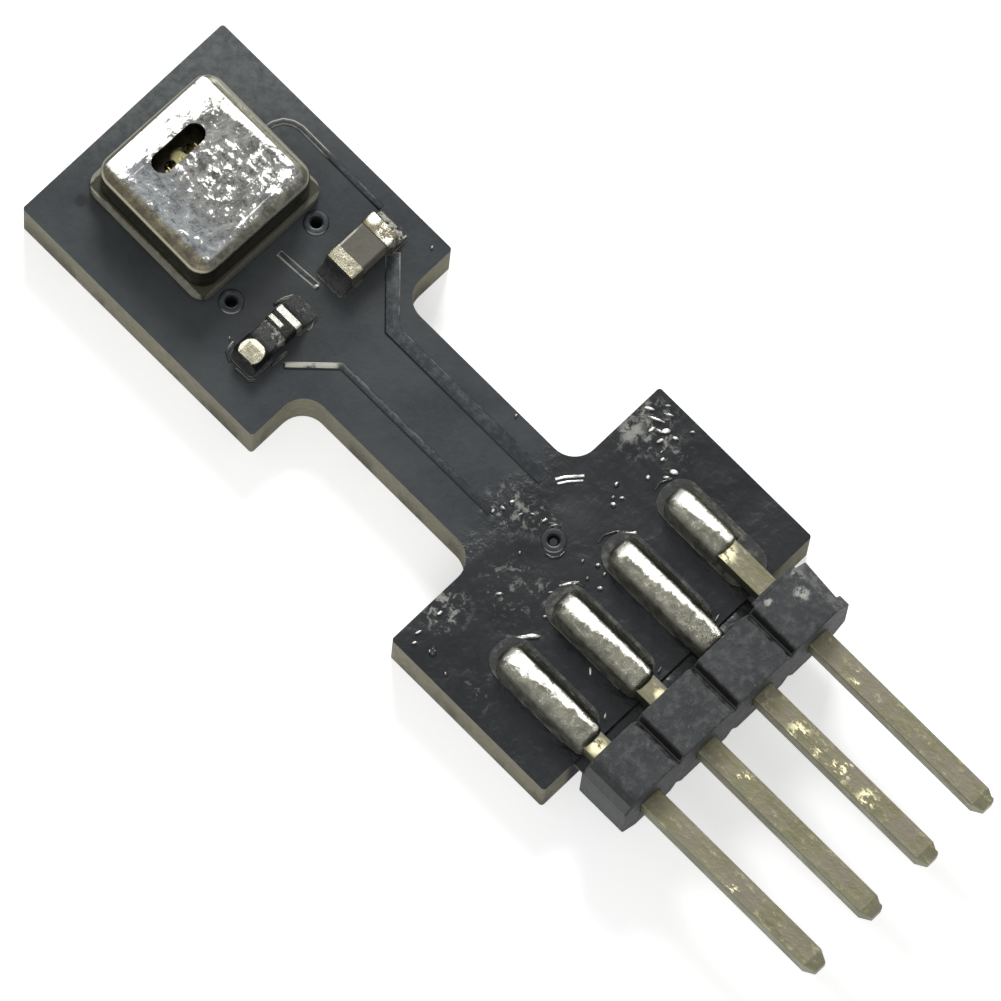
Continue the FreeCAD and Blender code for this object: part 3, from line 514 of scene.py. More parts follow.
# pale marks on the third pin, and by the block and the solder: place, reach, level of the noise at its edge
PALE_GOLD_MARKS = (
    ((0.57, -2.22), 0.24, 0.5), ((0.58, -2.62), 0.2, 0.52), ((0.62, -3.1), 0.3, 0.54), ((0.57, -3.77), 0.24, 0.49),
    ((1.9, -2.3), 0.2, 0.56), ((-0.62, -2.15), 0.2, 0.57), ((-2.0, -3.3), 0.16, 0.54), ((-0.6, -0.24), 0.14, 0.48),
    ((1.82, 0.72), 0.26, 0.42), ((-1.93, -0.15), 0.2, 0.45),
)


def make_gold_finish():
    """Dull plating with streaks along the pin, bright, sharp edged blotches, and painted shade on its left side and
    underside.
    """
    f = Finish("pin_gold", Metallic=1.0)
    streak = f.noise(2.4, 6, 0.68, stretch=(4.0, 0.5, 4.0))
    patch = f.noise(1.6, 7, 0.72, 0.3)
    fine = f.noise(7.0, 5, 0.7, stretch=(1, 0.5, 1))
    # painted shade on the pin's left side and underside
    tone = f.layers(
        f.mottle(streak, 0.3, 0.68, "gold_streak", "gold"),
        (f.step(patch, 0.42, 0.62, 0.0, 0.8), "gold_worn"),
        (f.step(fine, 0.55, 0.7, 0.0, 0.6), "gold_bright"),
        *((f.patch(spot, reach, fine, level, 0.06), "gold_pale_mark") for spot, reach, level in PALE_GOLD_MARKS),
        (f.facing(LEFT, 0.6, 0.9), "gold_left_shade"),
        (f.facing(DOWN, 0.3, 0.6), "gold_under_shade"))
    return f.complete(tone, f.step(patch, 0.35, 0.65, 0.36, 0.52), f.bump(fine, 0.014))


def make_solder_finish():
    """Painted highlight along the top of each pin; grey on the rim and on the left half near the block, with
    painted shade on the flanks.
    """
    f = Finish("solder")
    shifted = f.minus(f.x, PIN_PLACES[0] - PIN_PITCH / 2)
    across = f.minus(f.math("FLOORED_MODULO", shifted, PIN_PITCH), PIN_PITCH / 2)
    blot = f.noise(4.5, 8, 0.75, 0.3)
    fine = f.noise(9.0, 6, 0.7, shift=(2, 8, 1))
    ragged = f.times(f.minus(blot, 0.5), 0.45)
    drift = f.step(f.y, 0.2, 2.0, 0.13, -0.06)
    inner = f.step(f.plus(f.minus(across, drift), ragged), -0.03, 0.03)
    outer = f.step(f.stray(across, ragged, 0.6), 0.17, 0.22, 1.0, 0.0)
    # painted highlight: a stripe along the top of each pin
    bright = f.times(inner, outer, f.facing((0.2, 0.2, 1), 0.6, 0.8))
    dull = f.layers(
        f.mottle(blot, 0.38, 0.62, "solder_dull", "solder_grey"),
        (f.step(fine, 0.56, 0.66, 0.0, 0.6), "solder_speck"))
    # painted shade on the flanks
    tone = f.layers(
        f.mottle(blot, 0.4, 0.6, "flank_shade_dark", "flank_shade_light"),
        (f.facing(UP, 0.3, 0.65), dull),
        (bright, f.mottle(fine, 0.32, 0.46, "solder_worn", "solder")))
    f.give("Metallic", f.minus(1.0, f.facing(LEFT, 0.3, 0.7)))
    return f.complete(tone, f.rough(blot, 0.36, 0.24), f.bump(f.stray(blot, fine, 0.3), 0.03))


def make_stained_and_shaded_finish():
    """Solder under the chip components, dark with flux and painted shade, with tin showing at the capacitor's far
    end.
    """
    f = Finish("stained_solder", Specular_IOR_Level=0.35)
    blot = f.noise(8.0, 7, 0.72)
    far = f.times(f.step(f.x, 1.74, 1.76), f.step(blot, 0.44, 0.54), 0.8)
    # dark mottle of flux stains and painted shade
    tone = f.layers(
        f.mottle(blot, 0.35, 0.65, "stain_shade_dark", "stain_shade_light"),
        (f.step(f.noise(7.0, 6, 0.7, shift=(8, 3, 2)), 0.62, 0.68), "stain_speck"),
        (far, "stain_tin"))
    return f.complete(tone, f.rough(blot, 0.3, 0.5), f.bump(blot, 0.03))


def make_land_finish():
    """Stained copper top with a painted highlight on its rim."""
    f = Finish("tinned_land", Metallic=0.3)
    blot = f.noise(5.0, 7, 0.72)
    top = f.mottle(blot, 0.46, 0.7, "land", "land_light")
    # painted highlight on the rim
    rim = f.mottle(f.noise(5.0, 5, 0.6, shift=(4, 0, 0)), 0.4, 0.6, "land_rim_highlight_low", "land_rim_highlight")
    return f.complete(f.mix(f.facing(UP, 0.8, 0.97), rim, top), f.rough(blot, 0.6, 0.42), f.bump(blot, 0.02))


# pale scuffs on the header block: place, reach
BLOCK_SCUFFS = (
    ((2.27, -0.45), 0.16), ((2.09, -0.72), 0.18), ((1.6, -0.44), 0.1), ((-1.51, -1.09), 0.08), ((0.72, -0.35), 0.1),
)
# the way that a notch's left and right flank face
NOTCH_LEFT, NOTCH_RIGHT = (0.876, 0, 0.482), (-0.876, 0, 0.482)


def make_block_finish():
    """Moulded plastic: grained, scuffed by the last pin, and paler where its end is snapped off, with painted shade
    in the notches and on the front.
    """
    f = Finish("header_plastic", Specular_IOR_Level=0.3)
    grain = f.noise(7.0, 7, 0.72)
    cloud = f.noise(1.6, 4, 0.6)
    pits = f.noise(5.0, 7, 0.75, shift=(9, 2, 4))
    specks = f.noise(11.0, 4, 0.7, shift=(5, 5, 1))
    tone = f.layers(
        f.mottle(cloud, 0.3, 0.7, "plastic", "plastic_cloud"),
        (f.step(grain, 0.44, 0.66, 0.0, 0.9), "plastic_grain"),
        (f.step(pits, 0.3, 0.44, 0.7, 0.0), "plastic_pit"),
        (f.step(specks, 0.64, 0.72, 0.0, 0.7), "plastic_speck"),
        *((f.times(f.patch(spot, reach, grain, 0.46, 0.1), 0.85), "plastic_scuff") for spot, reach in BLOCK_SCUFFS))
    # each notch's right flank: a painted highlight as a pale line along its root, painted shade in black above it
    notch_shade_and_highlight = f.mottle(f.z, 1.98, 2.0, f.mottle(f.z, 1.875, 1.89, "notch_highlight_line", "notch_shade_black"), tone)
    snapped = f.times(f.facing(RIGHT, 0.4, 0.7), f.step(grain, 0.4, 0.6), 0.5)
    # painted shade on the notches' left flanks and on the block's front
    tone = f.layers(
        tone,
        (f.facing(NOTCH_RIGHT, 0.94, 0.98), notch_shade_and_highlight),
        (f.facing(NOTCH_LEFT, 0.94, 0.98), "notch_left_shade"),
        (f.times(f.facing(FRONT, 0.5, 0.8), 0.55), "plastic_front_shade"),
        (snapped, "plastic_snapped"))
    return f.complete(tone, f.rough(grain, 0.48, 0.66), f.bump(f.stray(grain, cloud, 0.6), 0.022))


def make_die_finish():
    """Polished silicon with a pale yellow window between the two gel drops."""
    f = Finish("silicon", Metallic=0.4, Roughness=0.25)
    gloss = f.noise(6.0, 6, 0.7)
    window = f.times(f.near((0.16, 11.57), 0.12, 0.2), f.step(gloss, 0.36, 0.46))
    return f.complete(f.layers(f.mottle(gloss, 0.4, 0.6, "die_dark", "die_light"), (window, "die_window")))


def make_gel_finish():
    """Olive gel with a bright glint on its crown."""
    f = Finish("die_gel", Roughness=0.15)
    tone = f.mottle(f.noise(9.0, 4, 0.6), 0.35, 0.65, "gel", "gel_light")
    return f.complete(f.mix(f.facing((0.3, 0.3, 1), 0.8, 0.9), tone, "gel_glint"))


def make_wire_finish():
    f = Finish("bond_gold", Metallic=1.0, Roughness=0.25)
    return f.complete(f.mix(f.noise(9.0, 3), "wire", "wire_light"))


def make_ceramic_finish():
    """Brown grey ceramic with a painted highlight along its rear edge."""
    f = Finish("capacitor_ceramic", Specular_IOR_Level=0.35)
    grain = f.noise(10.0, 5, 0.65)
    rear = f.step(f.y, CAPACITOR_HIGH.y - 0.045, CAPACITOR_HIGH.y - 0.03)
    tone = f.layers(
        f.mottle(grain, 0.3, 0.7, "ceramic", "ceramic_light"),
        (f.step(f.noise(2.0, 4, 0.6), 0.45, 0.7, 0.0, 0.5), "ceramic_dark"),
        (f.times(rear, f.step(f.x, 1.3, 1.4, 0.9, 0.2)), "pale_highlight"))
    return f.complete(tone, f.rough(grain, 0.4, 0.55), f.bump(grain, 0.006))


def make_resistor_finish():
    """Black glass, murky with flux and white specks, with a painted shadow at its left end."""
    f = Finish("resistor_glass", Specular_IOR_Level=0.35)
    grain = f.noise(9.0, 6, 0.7)
    specks = f.step(f.noise(7.0, 6, 0.75, shift=(4, 4, 4)), 0.52, 0.6)
    # painted shadow at the glass's left end
    tone = f.layers(
        f.mottle(grain, 0.35, 0.7, "glass", "glass_murk"),
        (f.times(specks, f.step(f.x, -0.98, -0.9)), "glass_speck"),
        (f.step(f.x, -1.06, -0.98, 1.0, 0.0), "glass_shadow_black"))
    return f.complete(tone, f.rough(grain, 0.25, 0.45), f.bump(grain, 0.012))


# middle of the beige end's round face, and x of the short bar on the other end
BEIGE_END = (-1.29, 8.45)
SHORT_BAR = -0.64


def make_tin_finish():
    """Dull tin on the chip ends: a beige one with a painted highlight on two edges, two bright bars on the other,
    white patches on the far one.
    """
    f = Finish("chip_tin", Metallic=1.0)
    x, y = f.x, f.y
    blot = f.noise(7.0, 6, 0.72)
    fine = f.noise(4.0, 7, 0.7, 0.3, shift=(6, 1, 2))
    # resistor's left end: dark corners, and a painted highlight on its far and right edges
    first = f.step(x, -1.0, -0.98, 1.0, 0.0)
    edge = f.most(f.step(x, -1.2, -1.17), f.step(y, 8.58, 8.61))
    corner = f.step(f.distance(BEIGE_END), 0.2, 0.225)
    # resistor's right end: a long and a short bar on dark metal
    second = f.times(f.step(x, -0.8, -0.78), f.step(x, 0.2, 0.22, 1.0, 0.0))
    long_bar = f.times(f.step(x, -0.51, -0.495), f.step(blot, 0.3, 0.4))
    short_bar = f.times(f.step(f.apart(x, SHORT_BAR), 0.03, 0.045, 1.0, 0.0), f.step(y, 8.4, 8.43), 0.85)
    # capacitor's right end: brown with white patches
    third = f.step(x, 1.3, 1.35)
    white = f.most(f.patch((1.69, 8.66), 0.16, blot, 0.3, 0.1), f.patch((1.7, 8.28), 0.3, blot, 0.47, 0.06))
    tone = f.layers(
        f.mottle(blot, 0.35, 0.6, "tin_dark", "tin"),
        (f.step(fine, 0.56, 0.62), "tin_fleck"),
        (f.times(first, edge, 0.8), "tin_edge_highlight"),
        (f.times(first, corner), "tin_corner"),
        (second, f.mix(f.most(long_bar, short_bar), "tin_stained", "tin_bar")),
        (third, f.mix(white, "tin_brown", "tin_white")))
    return f.complete(tone, f.rough(blot, 0.42, 0.3), f.bump(blot, 0.03))


def make_flux_finish():
    """Set flux: dark and wet looking, like the plate that shows through it."""
    f = Finish("flux_residue")
    haze = f.noise(6.0, 5, 0.65)
    return f.complete(f.mottle(haze, 0.4, 0.7, "flux", "flux_haze"), f.rough(haze, 0.06, 0.2), f.bump(haze, 0.008))


def make_fleck_finish():
    """White flecks of flux and tin."""
    f = Finish("white_fleck", Metallic=0.6)
    haze = f.noise(9.0, 5, 0.65)
    return f.complete(f.mottle(haze, 0.35, 0.6, "fleck", "fleck_white"), f.rough(haze, 0.2, 0.4))


FINISHES = {
    "board": make_mask_finish,
    "trace": make_trace_finish,
    "lid": make_lid_finish,
    "carrier": make_carrier_finish,
    "pin": make_gold_finish,
    "solder": make_solder_finish,
    "stained": make_stained_and_shaded_finish,
    "land": make_land_finish,
    "block": make_block_finish,
    "die": make_die_finish,
    "gel": make_gel_finish,
    "wire": make_wire_finish,
    "capacitor": make_ceramic_finish,
    "resistor": make_resistor_finish,
    "chip_end": make_tin_finish,
    "flux": make_flux_finish,
    "fleck": make_fleck_finish,
}
made_finishes = {}


def finish_for(name):
    if name not in made_finishes:
        made_finishes[name] = FINISHES[name]()
    return made_finishes[name]


# Modelling

SELECT_MODES = {"verts": "VERT", "edges": "EDGE", "faces": "FACE"}
# degrees up to which an edge is smoothed
RIDGE_SMOOTH = 80.0
PIECE_SMOOTH = 60.0


def begin(name, add, **where):
    """Start a piece from a primitive, with its place in its mesh, and open it for editing."""
    bpy.ops.object.select_all(action="DESELECT")
    add(**where)
    piece = bpy.context.object
    piece.name = piece.data.name = name
    bpy.ops.object.transform_apply(location=True, rotation=True, scale=True)
    bpy.ops.object.mode_set(mode="EDIT")
    bpy.ops.mesh.select_all(action="DESELECT")
    return piece


def pick_all():
    bpy.ops.mesh.select_all(action="SELECT")


def pick(piece, kind, wanted):
    """Select only those verts, edges or faces of the open piece that are wanted."""
    bpy.ops.mesh.select_mode(type=SELECT_MODES[kind])
    bpy.ops.mesh.select_all(action="DESELECT")
    mesh = bmesh.from_edit_mesh(piece.data)
    for item in getattr(mesh, kind):
        if wanted(item):
            item.select_set(True)
    mesh.select_flush_mode()
    bmesh.update_edit_mesh(piece.data)


def picked_verts(piece):
    return [vert for vert in bmesh.from_edit_mesh(piece.data).verts if vert.select]


def shift(x=0.0, y=0.0, z=0.0):
    bpy.ops.transform.translate(value=(x, y, z))


def extrude(x=0.0, y=0.0, z=0.0):
    bpy.ops.mesh.extrude_region_move(TRANSFORM_OT_translate={"value": (x, y, z)})


def resize(piece, x, y, z, about=None):
    """Scale what is selected about a point, or about its own middle."""
    if about is None:
        verts = picked_verts(piece)
        about = sum((vert.co for vert in verts), Vector()) / len(verts)
    bpy.ops.transform.resize(value=(x, y, z), center_override=tuple(about))


def close_mesh(smooth=PIECE_SMOOTH):
    """Face the open piece outwards, end its editing, and smooth its edges up to that angle."""
    pick_all()
    bpy.ops.mesh.normals_make_consistent(inside=False)
    bpy.ops.object.mode_set(mode="OBJECT")
    bpy.ops.object.shade_smooth_by_angle(angle=math.radians(smooth))


def dress_piece(piece, finish):
    """Give the piece its finish, and let it ride."""
    piece.data.materials.clear()
    piece.data.materials.append(finish_for(finish))
    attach(piece, "root")


def halve(piece, centre):
    """Keep what lies above the centre, closed underneath, and select it."""
    pick_all()
    bpy.ops.mesh.bisect(plane_co=centre, plane_no=(0, 0, -1), use_fill=True, clear_outer=True)
    pick_all()


def bevel_rim(piece, level, offset):
    """Bevel the edges that lie above the level and border a side wall."""
    pick(piece, "edges", lambda edge: min(vert.co.z for vert in edge.verts) > level
         and any(abs(face.normal.z) < 0.5 for face in edge.link_faces))
    bpy.ops.mesh.bevel(offset=offset, segments=2, profile=0.5)


def strip_corners(points, wide):
    """Left and right corners of a strip along the points, mitred where it bends."""
    points = [Vector(point) * MM for point in points]
    legs = [(after - before).normalized() for before, after in zip(points, points[1:])]
    corners = []
    for number, point in enumerate(points):
        before, after = legs[max(number - 1, 0)], legs[min(number, len(legs) - 1)]
        along = (before + after).normalized()
        across = Vector((-along.y, along.x)) * (wide / 2 / along.dot(before))
        corners.append((point + across, point - across))
    return corners


def lay_ridge(name, points, wide, rise, flank, finish, base=BOARD_TOP):
    """Raised line on the board: a plane extruded leg by leg, raised, and bevelled on top."""
    corners = strip_corners(points, wide)
    z = base * MM
    piece = begin(name, bpy.ops.mesh.primitive_plane_add, size=MM, location=(0, 0, z))

    def move(which, target):
        place = [vert.co.copy() for vert in bmesh.from_edit_mesh(piece.data).verts][which]
        pick(piece, "verts", lambda vert: vert.index == which)
        shift(target.x - place.x, target.y - place.y)

    for which, target in enumerate((corners[0][1], corners[1][1], corners[0][0], corners[1][0])):
        move(which, target)
    last = (3, 1)
    for before, (left, right) in zip(corners[1:], corners[2:]):
        pick(piece, "verts", lambda vert: vert.index in last)
        step = left - before[0]
        extrude(step.x, step.y)
        fresh = sorted(picked_verts(piece), key=lambda vert: (vert.co.xy - left).length)
        last = (fresh[0].index, fresh[1].index)
        move(last[1], right)
    pick_all()
    bpy.ops.mesh.normals_make_consistent(inside=False)
    extrude(z=rise)
    bevel_rim(piece, z + rise / 2, flank)
    close_mesh(RIDGE_SMOOTH)
    dress_piece(piece, finish)


RING_SIDES = 28
RING_FLANK = 0.8


def lay_ring(name, spot, inner, rim, rise, finish):
    """Raised ring round a via: a circle widened outwards, raised, and bevelled on top."""
    centre = Vector((*spot, BOARD_TOP)) * MM
    piece = begin(name, bpy.ops.mesh.primitive_circle_add, vertices=RING_SIDES, radius=inner, location=centre)
    pick_all()
    extrude()
    widen = (inner + rim) / inner
    resize(piece, widen, widen, 1, centre)
    pick_all()
    extrude(z=rise)
    bevel_rim(piece, centre.z + rise / 2, rise * RING_FLANK)
    close_mesh(RIDGE_SMOOTH)
    dress_piece(piece, finish)


def copy_piece(source, name, matrix):
    """Copy with a mesh of its own, moved in its mesh."""
    bpy.ops.object.select_all(action="DESELECT")
    source.select_set(True)
    bpy.context.view_layer.objects.active = source
    bpy.ops.object.duplicate(linked=False)
    piece = bpy.context.object
    piece.name = piece.data.name = name
    piece.matrix_world = matrix
    bpy.ops.object.transform_apply(location=True, rotation=True, scale=True)
    return piece


# Stage

# the camera's place in millimetres, and the way that it looks
CAMERA_PLACE = (-42.275, -29.151, 187.307)
CAMERA_LOOK = (0.21771, 0.17066, -0.96098)
CAMERA_UP = (0.66829, 0.69152, 0.27421)
SENSOR_WIDTH = 36.0
FOCAL_PIXELS = 12000.0
PICTURE_PIXELS = 1001
CLIP_START, CLIP_END = 0.01, 5.0
# the middle of the module, at which the lamps are aimed, then each lamp's place and size
LAMP_AIM = (0.1, 5.0, 1.0)
KEY_PLACE, KEY_SIZE = (130, 115, 150), 70
FILL_PLACE, FILL_SIZE = (-130, -60, 150), 150
FLOOR_SIZE = 1.2
FLOOR_GLOW = 0.55


def place_camera():
    look = Vector(CAMERA_LOOK).normalized()
    right = look.cross(Vector(CAMERA_UP)).normalized()
    up = right.cross(look)
    turn = Matrix((right, up, -look)).transposed().to_4x4()
    data = bpy.data.cameras.new("photo_camera")
    data.sensor_width = SENSOR_WIDTH
    data.lens = SENSOR_WIDTH * FOCAL_PIXELS / PICTURE_PIXELS
    data.clip_start, data.clip_end = CLIP_START, CLIP_END
    camera = bpy.data.objects.new("photo_camera", data)
    camera.matrix_world = Matrix.Translation(Vector(CAMERA_PLACE) * MM) @ turn
    bpy.context.scene.collection.objects.link(camera)
    bpy.context.scene.camera = camera


def add_lamp(name, place, size, power):
    """Square soft lamp that faces the middle of the module."""
    aim, place = Vector(LAMP_AIM) * MM, Vector(place) * MM
    data = bpy.data.lights.new(name, "AREA")
    data.shape = "SQUARE"
    data.size = size * MM
    data.energy = power
    lamp = bpy.data.objects.new(name, data)
    lamp.location = place
    lamp.rotation_euler = (aim - place).to_track_quat("-Z", "Y").to_euler()
    bpy.context.scene.collection.objects.link(lamp)


def pale_when_seen(tree, shader, plain, strength):
    """Strength for a backdrop that is white to the camera and in reflections."""
    path = tree.nodes.new("ShaderNodeLightPath")
    seen = path.outputs["Is Camera Ray"]
    for ray in ("Is Glossy Ray", "Is Transmission Ray"):
        either = tree.nodes.new("ShaderNodeMath")
        either.operation = "MAXIMUM"
        tree.links.new(seen, either.inputs[0])
        tree.links.new(path.outputs[ray], either.inputs[1])
        seen = either.outputs[0]
    amount = tree.nodes.new("ShaderNodeMapRange")
    tree.links.new(seen, amount.inputs["Value"])
    amount.inputs["To Min"].default_value = plain
    amount.inputs["To Max"].default_value = strength
    tree.links.new(amount.outputs[0], shader.inputs["Strength"])


def light_world(room):
    world = bpy.data.worlds.new("soft_room")
    bpy.context.scene.world = world
    world.use_nodes = True
    background = next(n for n in world.node_tree.nodes if n.type == "BACKGROUND")
    background.inputs["Color"].default_value = (1, 1, 1, 1)
    pale_when_seen(world.node_tree, background, room, 1.0)


def lay_floor(pale):
    bpy.ops.object.select_all(action="DESELECT")
    bpy.ops.mesh.primitive_plane_add(size=FLOOR_SIZE, location=(0, 0, 0))
    floor = bpy.context.object
    floor.name = "floor"
    material = bpy.data.materials.new("pale_floor")
    material.use_nodes = True
    tree = material.node_tree
    shader = next(n for n in tree.nodes if n.type == "BSDF_PRINCIPLED")
    shader.inputs["Base Color"].default_value = pale
    shader.inputs["Roughness"].default_value = 1.0
    shader.inputs["Specular IOR Level"].default_value = 0.0
    glow = tree.nodes.new("ShaderNodeEmission")
    pale_when_seen(tree, glow, 0.0, FLOOR_GLOW)
    both = tree.nodes.new("ShaderNodeAddShader")
    output = next(n for n in tree.nodes if n.type == "OUTPUT_MATERIAL")
    tree.links.new(shader.outputs[0], both.inputs[0])
    tree.links.new(glow.outputs[0], both.inputs[1])
    tree.links.new(both.outputs[0], output.inputs["Surface"])
    floor.data.materials.append(material)


class MODULE_OT_stage(bpy.types.Operator):
    """Pale floor, soft lamps and the camera at the photograph's angle"""
    bl_idname = "sensor_module.stage"
    bl_label = "Stage"

    def execute(self, context):
        stage = settings().stage
        place_camera()
        light_world(stage.room)
        lay_floor(stage.floor)
        add_lamp("key_lamp", KEY_PLACE, KEY_SIZE, stage.key_power)
        add_lamp("fill_lamp", FILL_PLACE, FILL_SIZE, stage.fill_power)
        context.scene.view_settings.view_transform = "Standard"
        return {"FINISHED"}


# Dressing and new pieces

# width of the soft edge of each slot that has one
SOFT_EDGES = {
    "block": 0.03, "chip_end": 0.03, "pin": 0.02,
    "land": 0.012, "carrier": 0.012, "board": 0.012, "resistor": 0.012,
}
WELD_REACH = 1e-7
SHARP_ANGLE = 32


def soften_edges(node, wide):
    """Weld a CAD node's loose triangles and round its sharp edges, as live modifiers."""
    weld = node.modifiers.new("weld", "WELD")
    weld.merge_threshold = WELD_REACH
    bevel = node.modifiers.new("soft_edge", "BEVEL")
    bevel.width = wide * MM
    bevel.segments = 2
    bevel.limit_method = "ANGLE"
    bevel.angle_limit = math.radians(SHARP_ANGLE)


class MODULE_OT_dress(bpy.types.Operator):
    """Finish of every CAD node by its material slot, and a soft edge where it has one"""
    bl_idname = "sensor_module.dress"
    bl_label = "Finishes"

    def execute(self, context):
        for entry in frame["record"]["subparts"]:
            node, slot = frame["nodes"][entry["node"]], entry["material_slot"]
            node.data.materials.clear()
            stained = slot == "solder" and not entry["node"].startswith("pin")
            node.data.materials.append(finish_for("stained" if stained else slot))
            if slot in SOFT_EDGES:
                soften_edges(node, SOFT_EDGES[slot])
        return {"FINISHED"}


WIDE_TRACE = ((0.685, 3.7), (0.685, 7.2), (1.62, 8.135))
# name, points, share of the narrow traces' width
NARROW_TRACES = (
    ("trace_to_resistor", ((-1.0, 8.0), (-0.325, 7.325), (-0.325, 3.9)), 1.0),
    ("trace_beside_lid",
     ((1.55, 11.08), (1.75, 11.05), (1.9, 10.97), (1.99, 10.84), (2.03, 10.68), (2.01, 8.8)), 0.9),
    ("trace_stub", ((0.283, 9.42), (0.335, 8.57)), 1.0),
)
# the mask's edge round the resistor's lands, where it shows, and its width and flank as shares of its height
MASK_EDGES = (
    ((-0.4, 8.84), (-0.2, 8.8), (-0.06, 8.73)),
    ((-0.045, 8.64), (-0.04, 8.46)),
    ((-0.05, 8.24), (-0.22, 8.16), (-0.3, 8.155)),
    ((-0.8, 8.12), (-1.15, 8.12)),
    ((-1.3, 8.84), (-1.5, 8.8), (-1.58, 8.64)),
    ((-1.6, 8.5), (-1.59, 8.2), (-1.5, 8.13)),
)
MASK_EDGE_WIDE, MASK_EDGE_FLANK = 1.8, 0.7
VIA_RADIUS = 0.105


class MODULE_OT_traces(bpy.types.Operator):
    """Copper traces that show as ridges under the mask"""
    bl_idname = "sensor_module.traces"
    bl_label = "Traces"

    def execute(self, context):
        sizes = settings().traces
        lay_ridge("trace_to_capacitor", WIDE_TRACE, sizes.wide, sizes.rise, sizes.flank, "trace")
        for name, points, share in NARROW_TRACES:
            lay_ridge(name, points, sizes.narrow * share, sizes.rise, sizes.flank, "trace")
        for number, points in enumerate(MASK_EDGES, start=1):
            lay_ridge("mask_edge_%d" % number, points, sizes.rise * MASK_EDGE_WIDE,
                      sizes.rise, sizes.rise * MASK_EDGE_FLANK, "trace")
        return {"FINISHED"}


class MODULE_OT_via_rims(bpy.types.Operator):
    """Copper rings round the three vias, under the mask"""
    bl_idname = "sensor_module.via_rims"
    bl_label = "Via rims"

    def execute(self, context):
        sizes = settings().traces
        for number, spot in enumerate(VIAS, start=1):
            lay_ring("via_rim_%d" % number, spot, VIA_RADIUS * MM, sizes.rim, sizes.rise, "trace")
        return {"FINISHED"}


# y at which each pin's solder begins, the least y of its full section, and how far that ends before the wire does
SOLDER_FRONTS = (0.06, 0.14, -0.2, 0.82)
FULL_FRONT = 0.3
FULL_BACK = 0.2
# rings of the rear end: reach, width, height and step aside
REAR_RINGS = ((0.12, 0.93, 0.9, 0.01), (0.1, 0.86, 0.76, 0.03), (0.09, 0.78, 0.5, 0.05))
# rings of the front end: reach, width, height
FRONT_RINGS = ((0.03, 0.9, 0.95), (0.07, 0.8, 0.9))
# how far the flank has spread towards the left and the right foot, by share of the height
FLANK_LEVELS = ((0.0, 1.0, 1.0), (0.13, 0.35, 0.42), (0.3, 0.0, 0.12))


class MODULE_OT_solder(bpy.types.Operator):
    """Rounded solder along the tail of each pin, with a hollow flank down to its land"""
    bl_idname = "sensor_module.solder"
    bl_label = "Pin solder"

    def execute(self, context):
        for number, front in enumerate(SOLDER_FRONTS):
            piece = self.build(number, front)
            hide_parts("pin_solder_%d" % (number + 1))
        return {"FINISHED"}

    def build(self, number, front):
        sizes = settings().solder
        middle, base = PIN_PLACES[number] * MM, LAND_TOP * MM
        half, high = sizes.half_width, sizes.height
        back = PINS[number][1].y * MM
        start = max(front, FULL_FRONT) * MM
        shoulder = back - FULL_BACK * MM
        piece = begin("tail_solder_%d" % (number + 1), bpy.ops.mesh.primitive_cube_add, size=1.0,
                      location=(middle, (start + shoulder) / 2, base + high / 2),
                      scale=(2 * half, shoulder - start, high))
        # rounded long edges on top
        pick(piece, "edges", lambda edge: min(vert.co.z for vert in edge.verts) > base + high * 0.9
             and abs((edge.verts[0].co - edge.verts[1].co).y) > half)
        bpy.ops.mesh.bevel(offset=sizes.round, segments=3, profile=0.5)
        # the rear end rounds off towards the land's end
        for reach, wide, tall, aside in REAR_RINGS:
            rear = max(vert.co.y for vert in bmesh.from_edit_mesh(piece.data).verts)
            pick(piece, "verts", lambda vert: vert.co.y > rear - TOUCH)
            extrude(x=aside * MM, y=reach * MM)
            resize(piece, wide, 1, tall, (middle, rear, base))
        # the front end thins out along the wire
        if front * MM < start:
            pick(piece, "verts", lambda vert: vert.co.y < start + TOUCH)
            extrude(y=front * MM - start)
        for reach, wide, tall in FRONT_RINGS:
            tip = min(vert.co.y for vert in bmesh.from_edit_mesh(piece.data).verts)
            pick(piece, "verts", lambda vert: vert.co.y < tip + TOUCH)
            extrude(y=-reach * MM)
            resize(piece, wide, 1, tall, (middle, tip, base))
        # the flanks spread to their feet on the land
        for level, _, _ in FLANK_LEVELS[1:]:
            pick_all()
            bpy.ops.mesh.bisect(plane_co=(0, 0, base + level * high), plane_no=(0, 0, 1))
        for level, left, right in FLANK_LEVELS:
            for side, foot, share in ((-1, sizes.foot_left, left), (1, sizes.foot_right, right)):
                pick(piece, "verts", lambda vert: abs(vert.co.z - base - level * high) < 10 * TOUCH
                     and (vert.co.x - middle) * side > 0.4 * half and vert.co.y > start - TOUCH)
                if picked_verts(piece):
                    shift(x=side * (foot - half) * share)
        # the edge on the land stays where it is when the rest is rounded
        pick(piece, "edges", lambda edge: max(vert.co.z for vert in edge.verts) < base + TOUCH)
        bpy.ops.transform.edge_crease(value=1.0)
        bpy.ops.object.mode_set(mode="OBJECT")
        smooth = piece.modifiers.new("rounding", "SUBSURF")
        smooth.levels = smooth.render_levels = 2
        bpy.ops.object.modifier_apply(modifier="rounding")
        bpy.ops.object.mode_set(mode="EDIT")
        close_mesh()
        dress_piece(piece, "solder")
        return piece


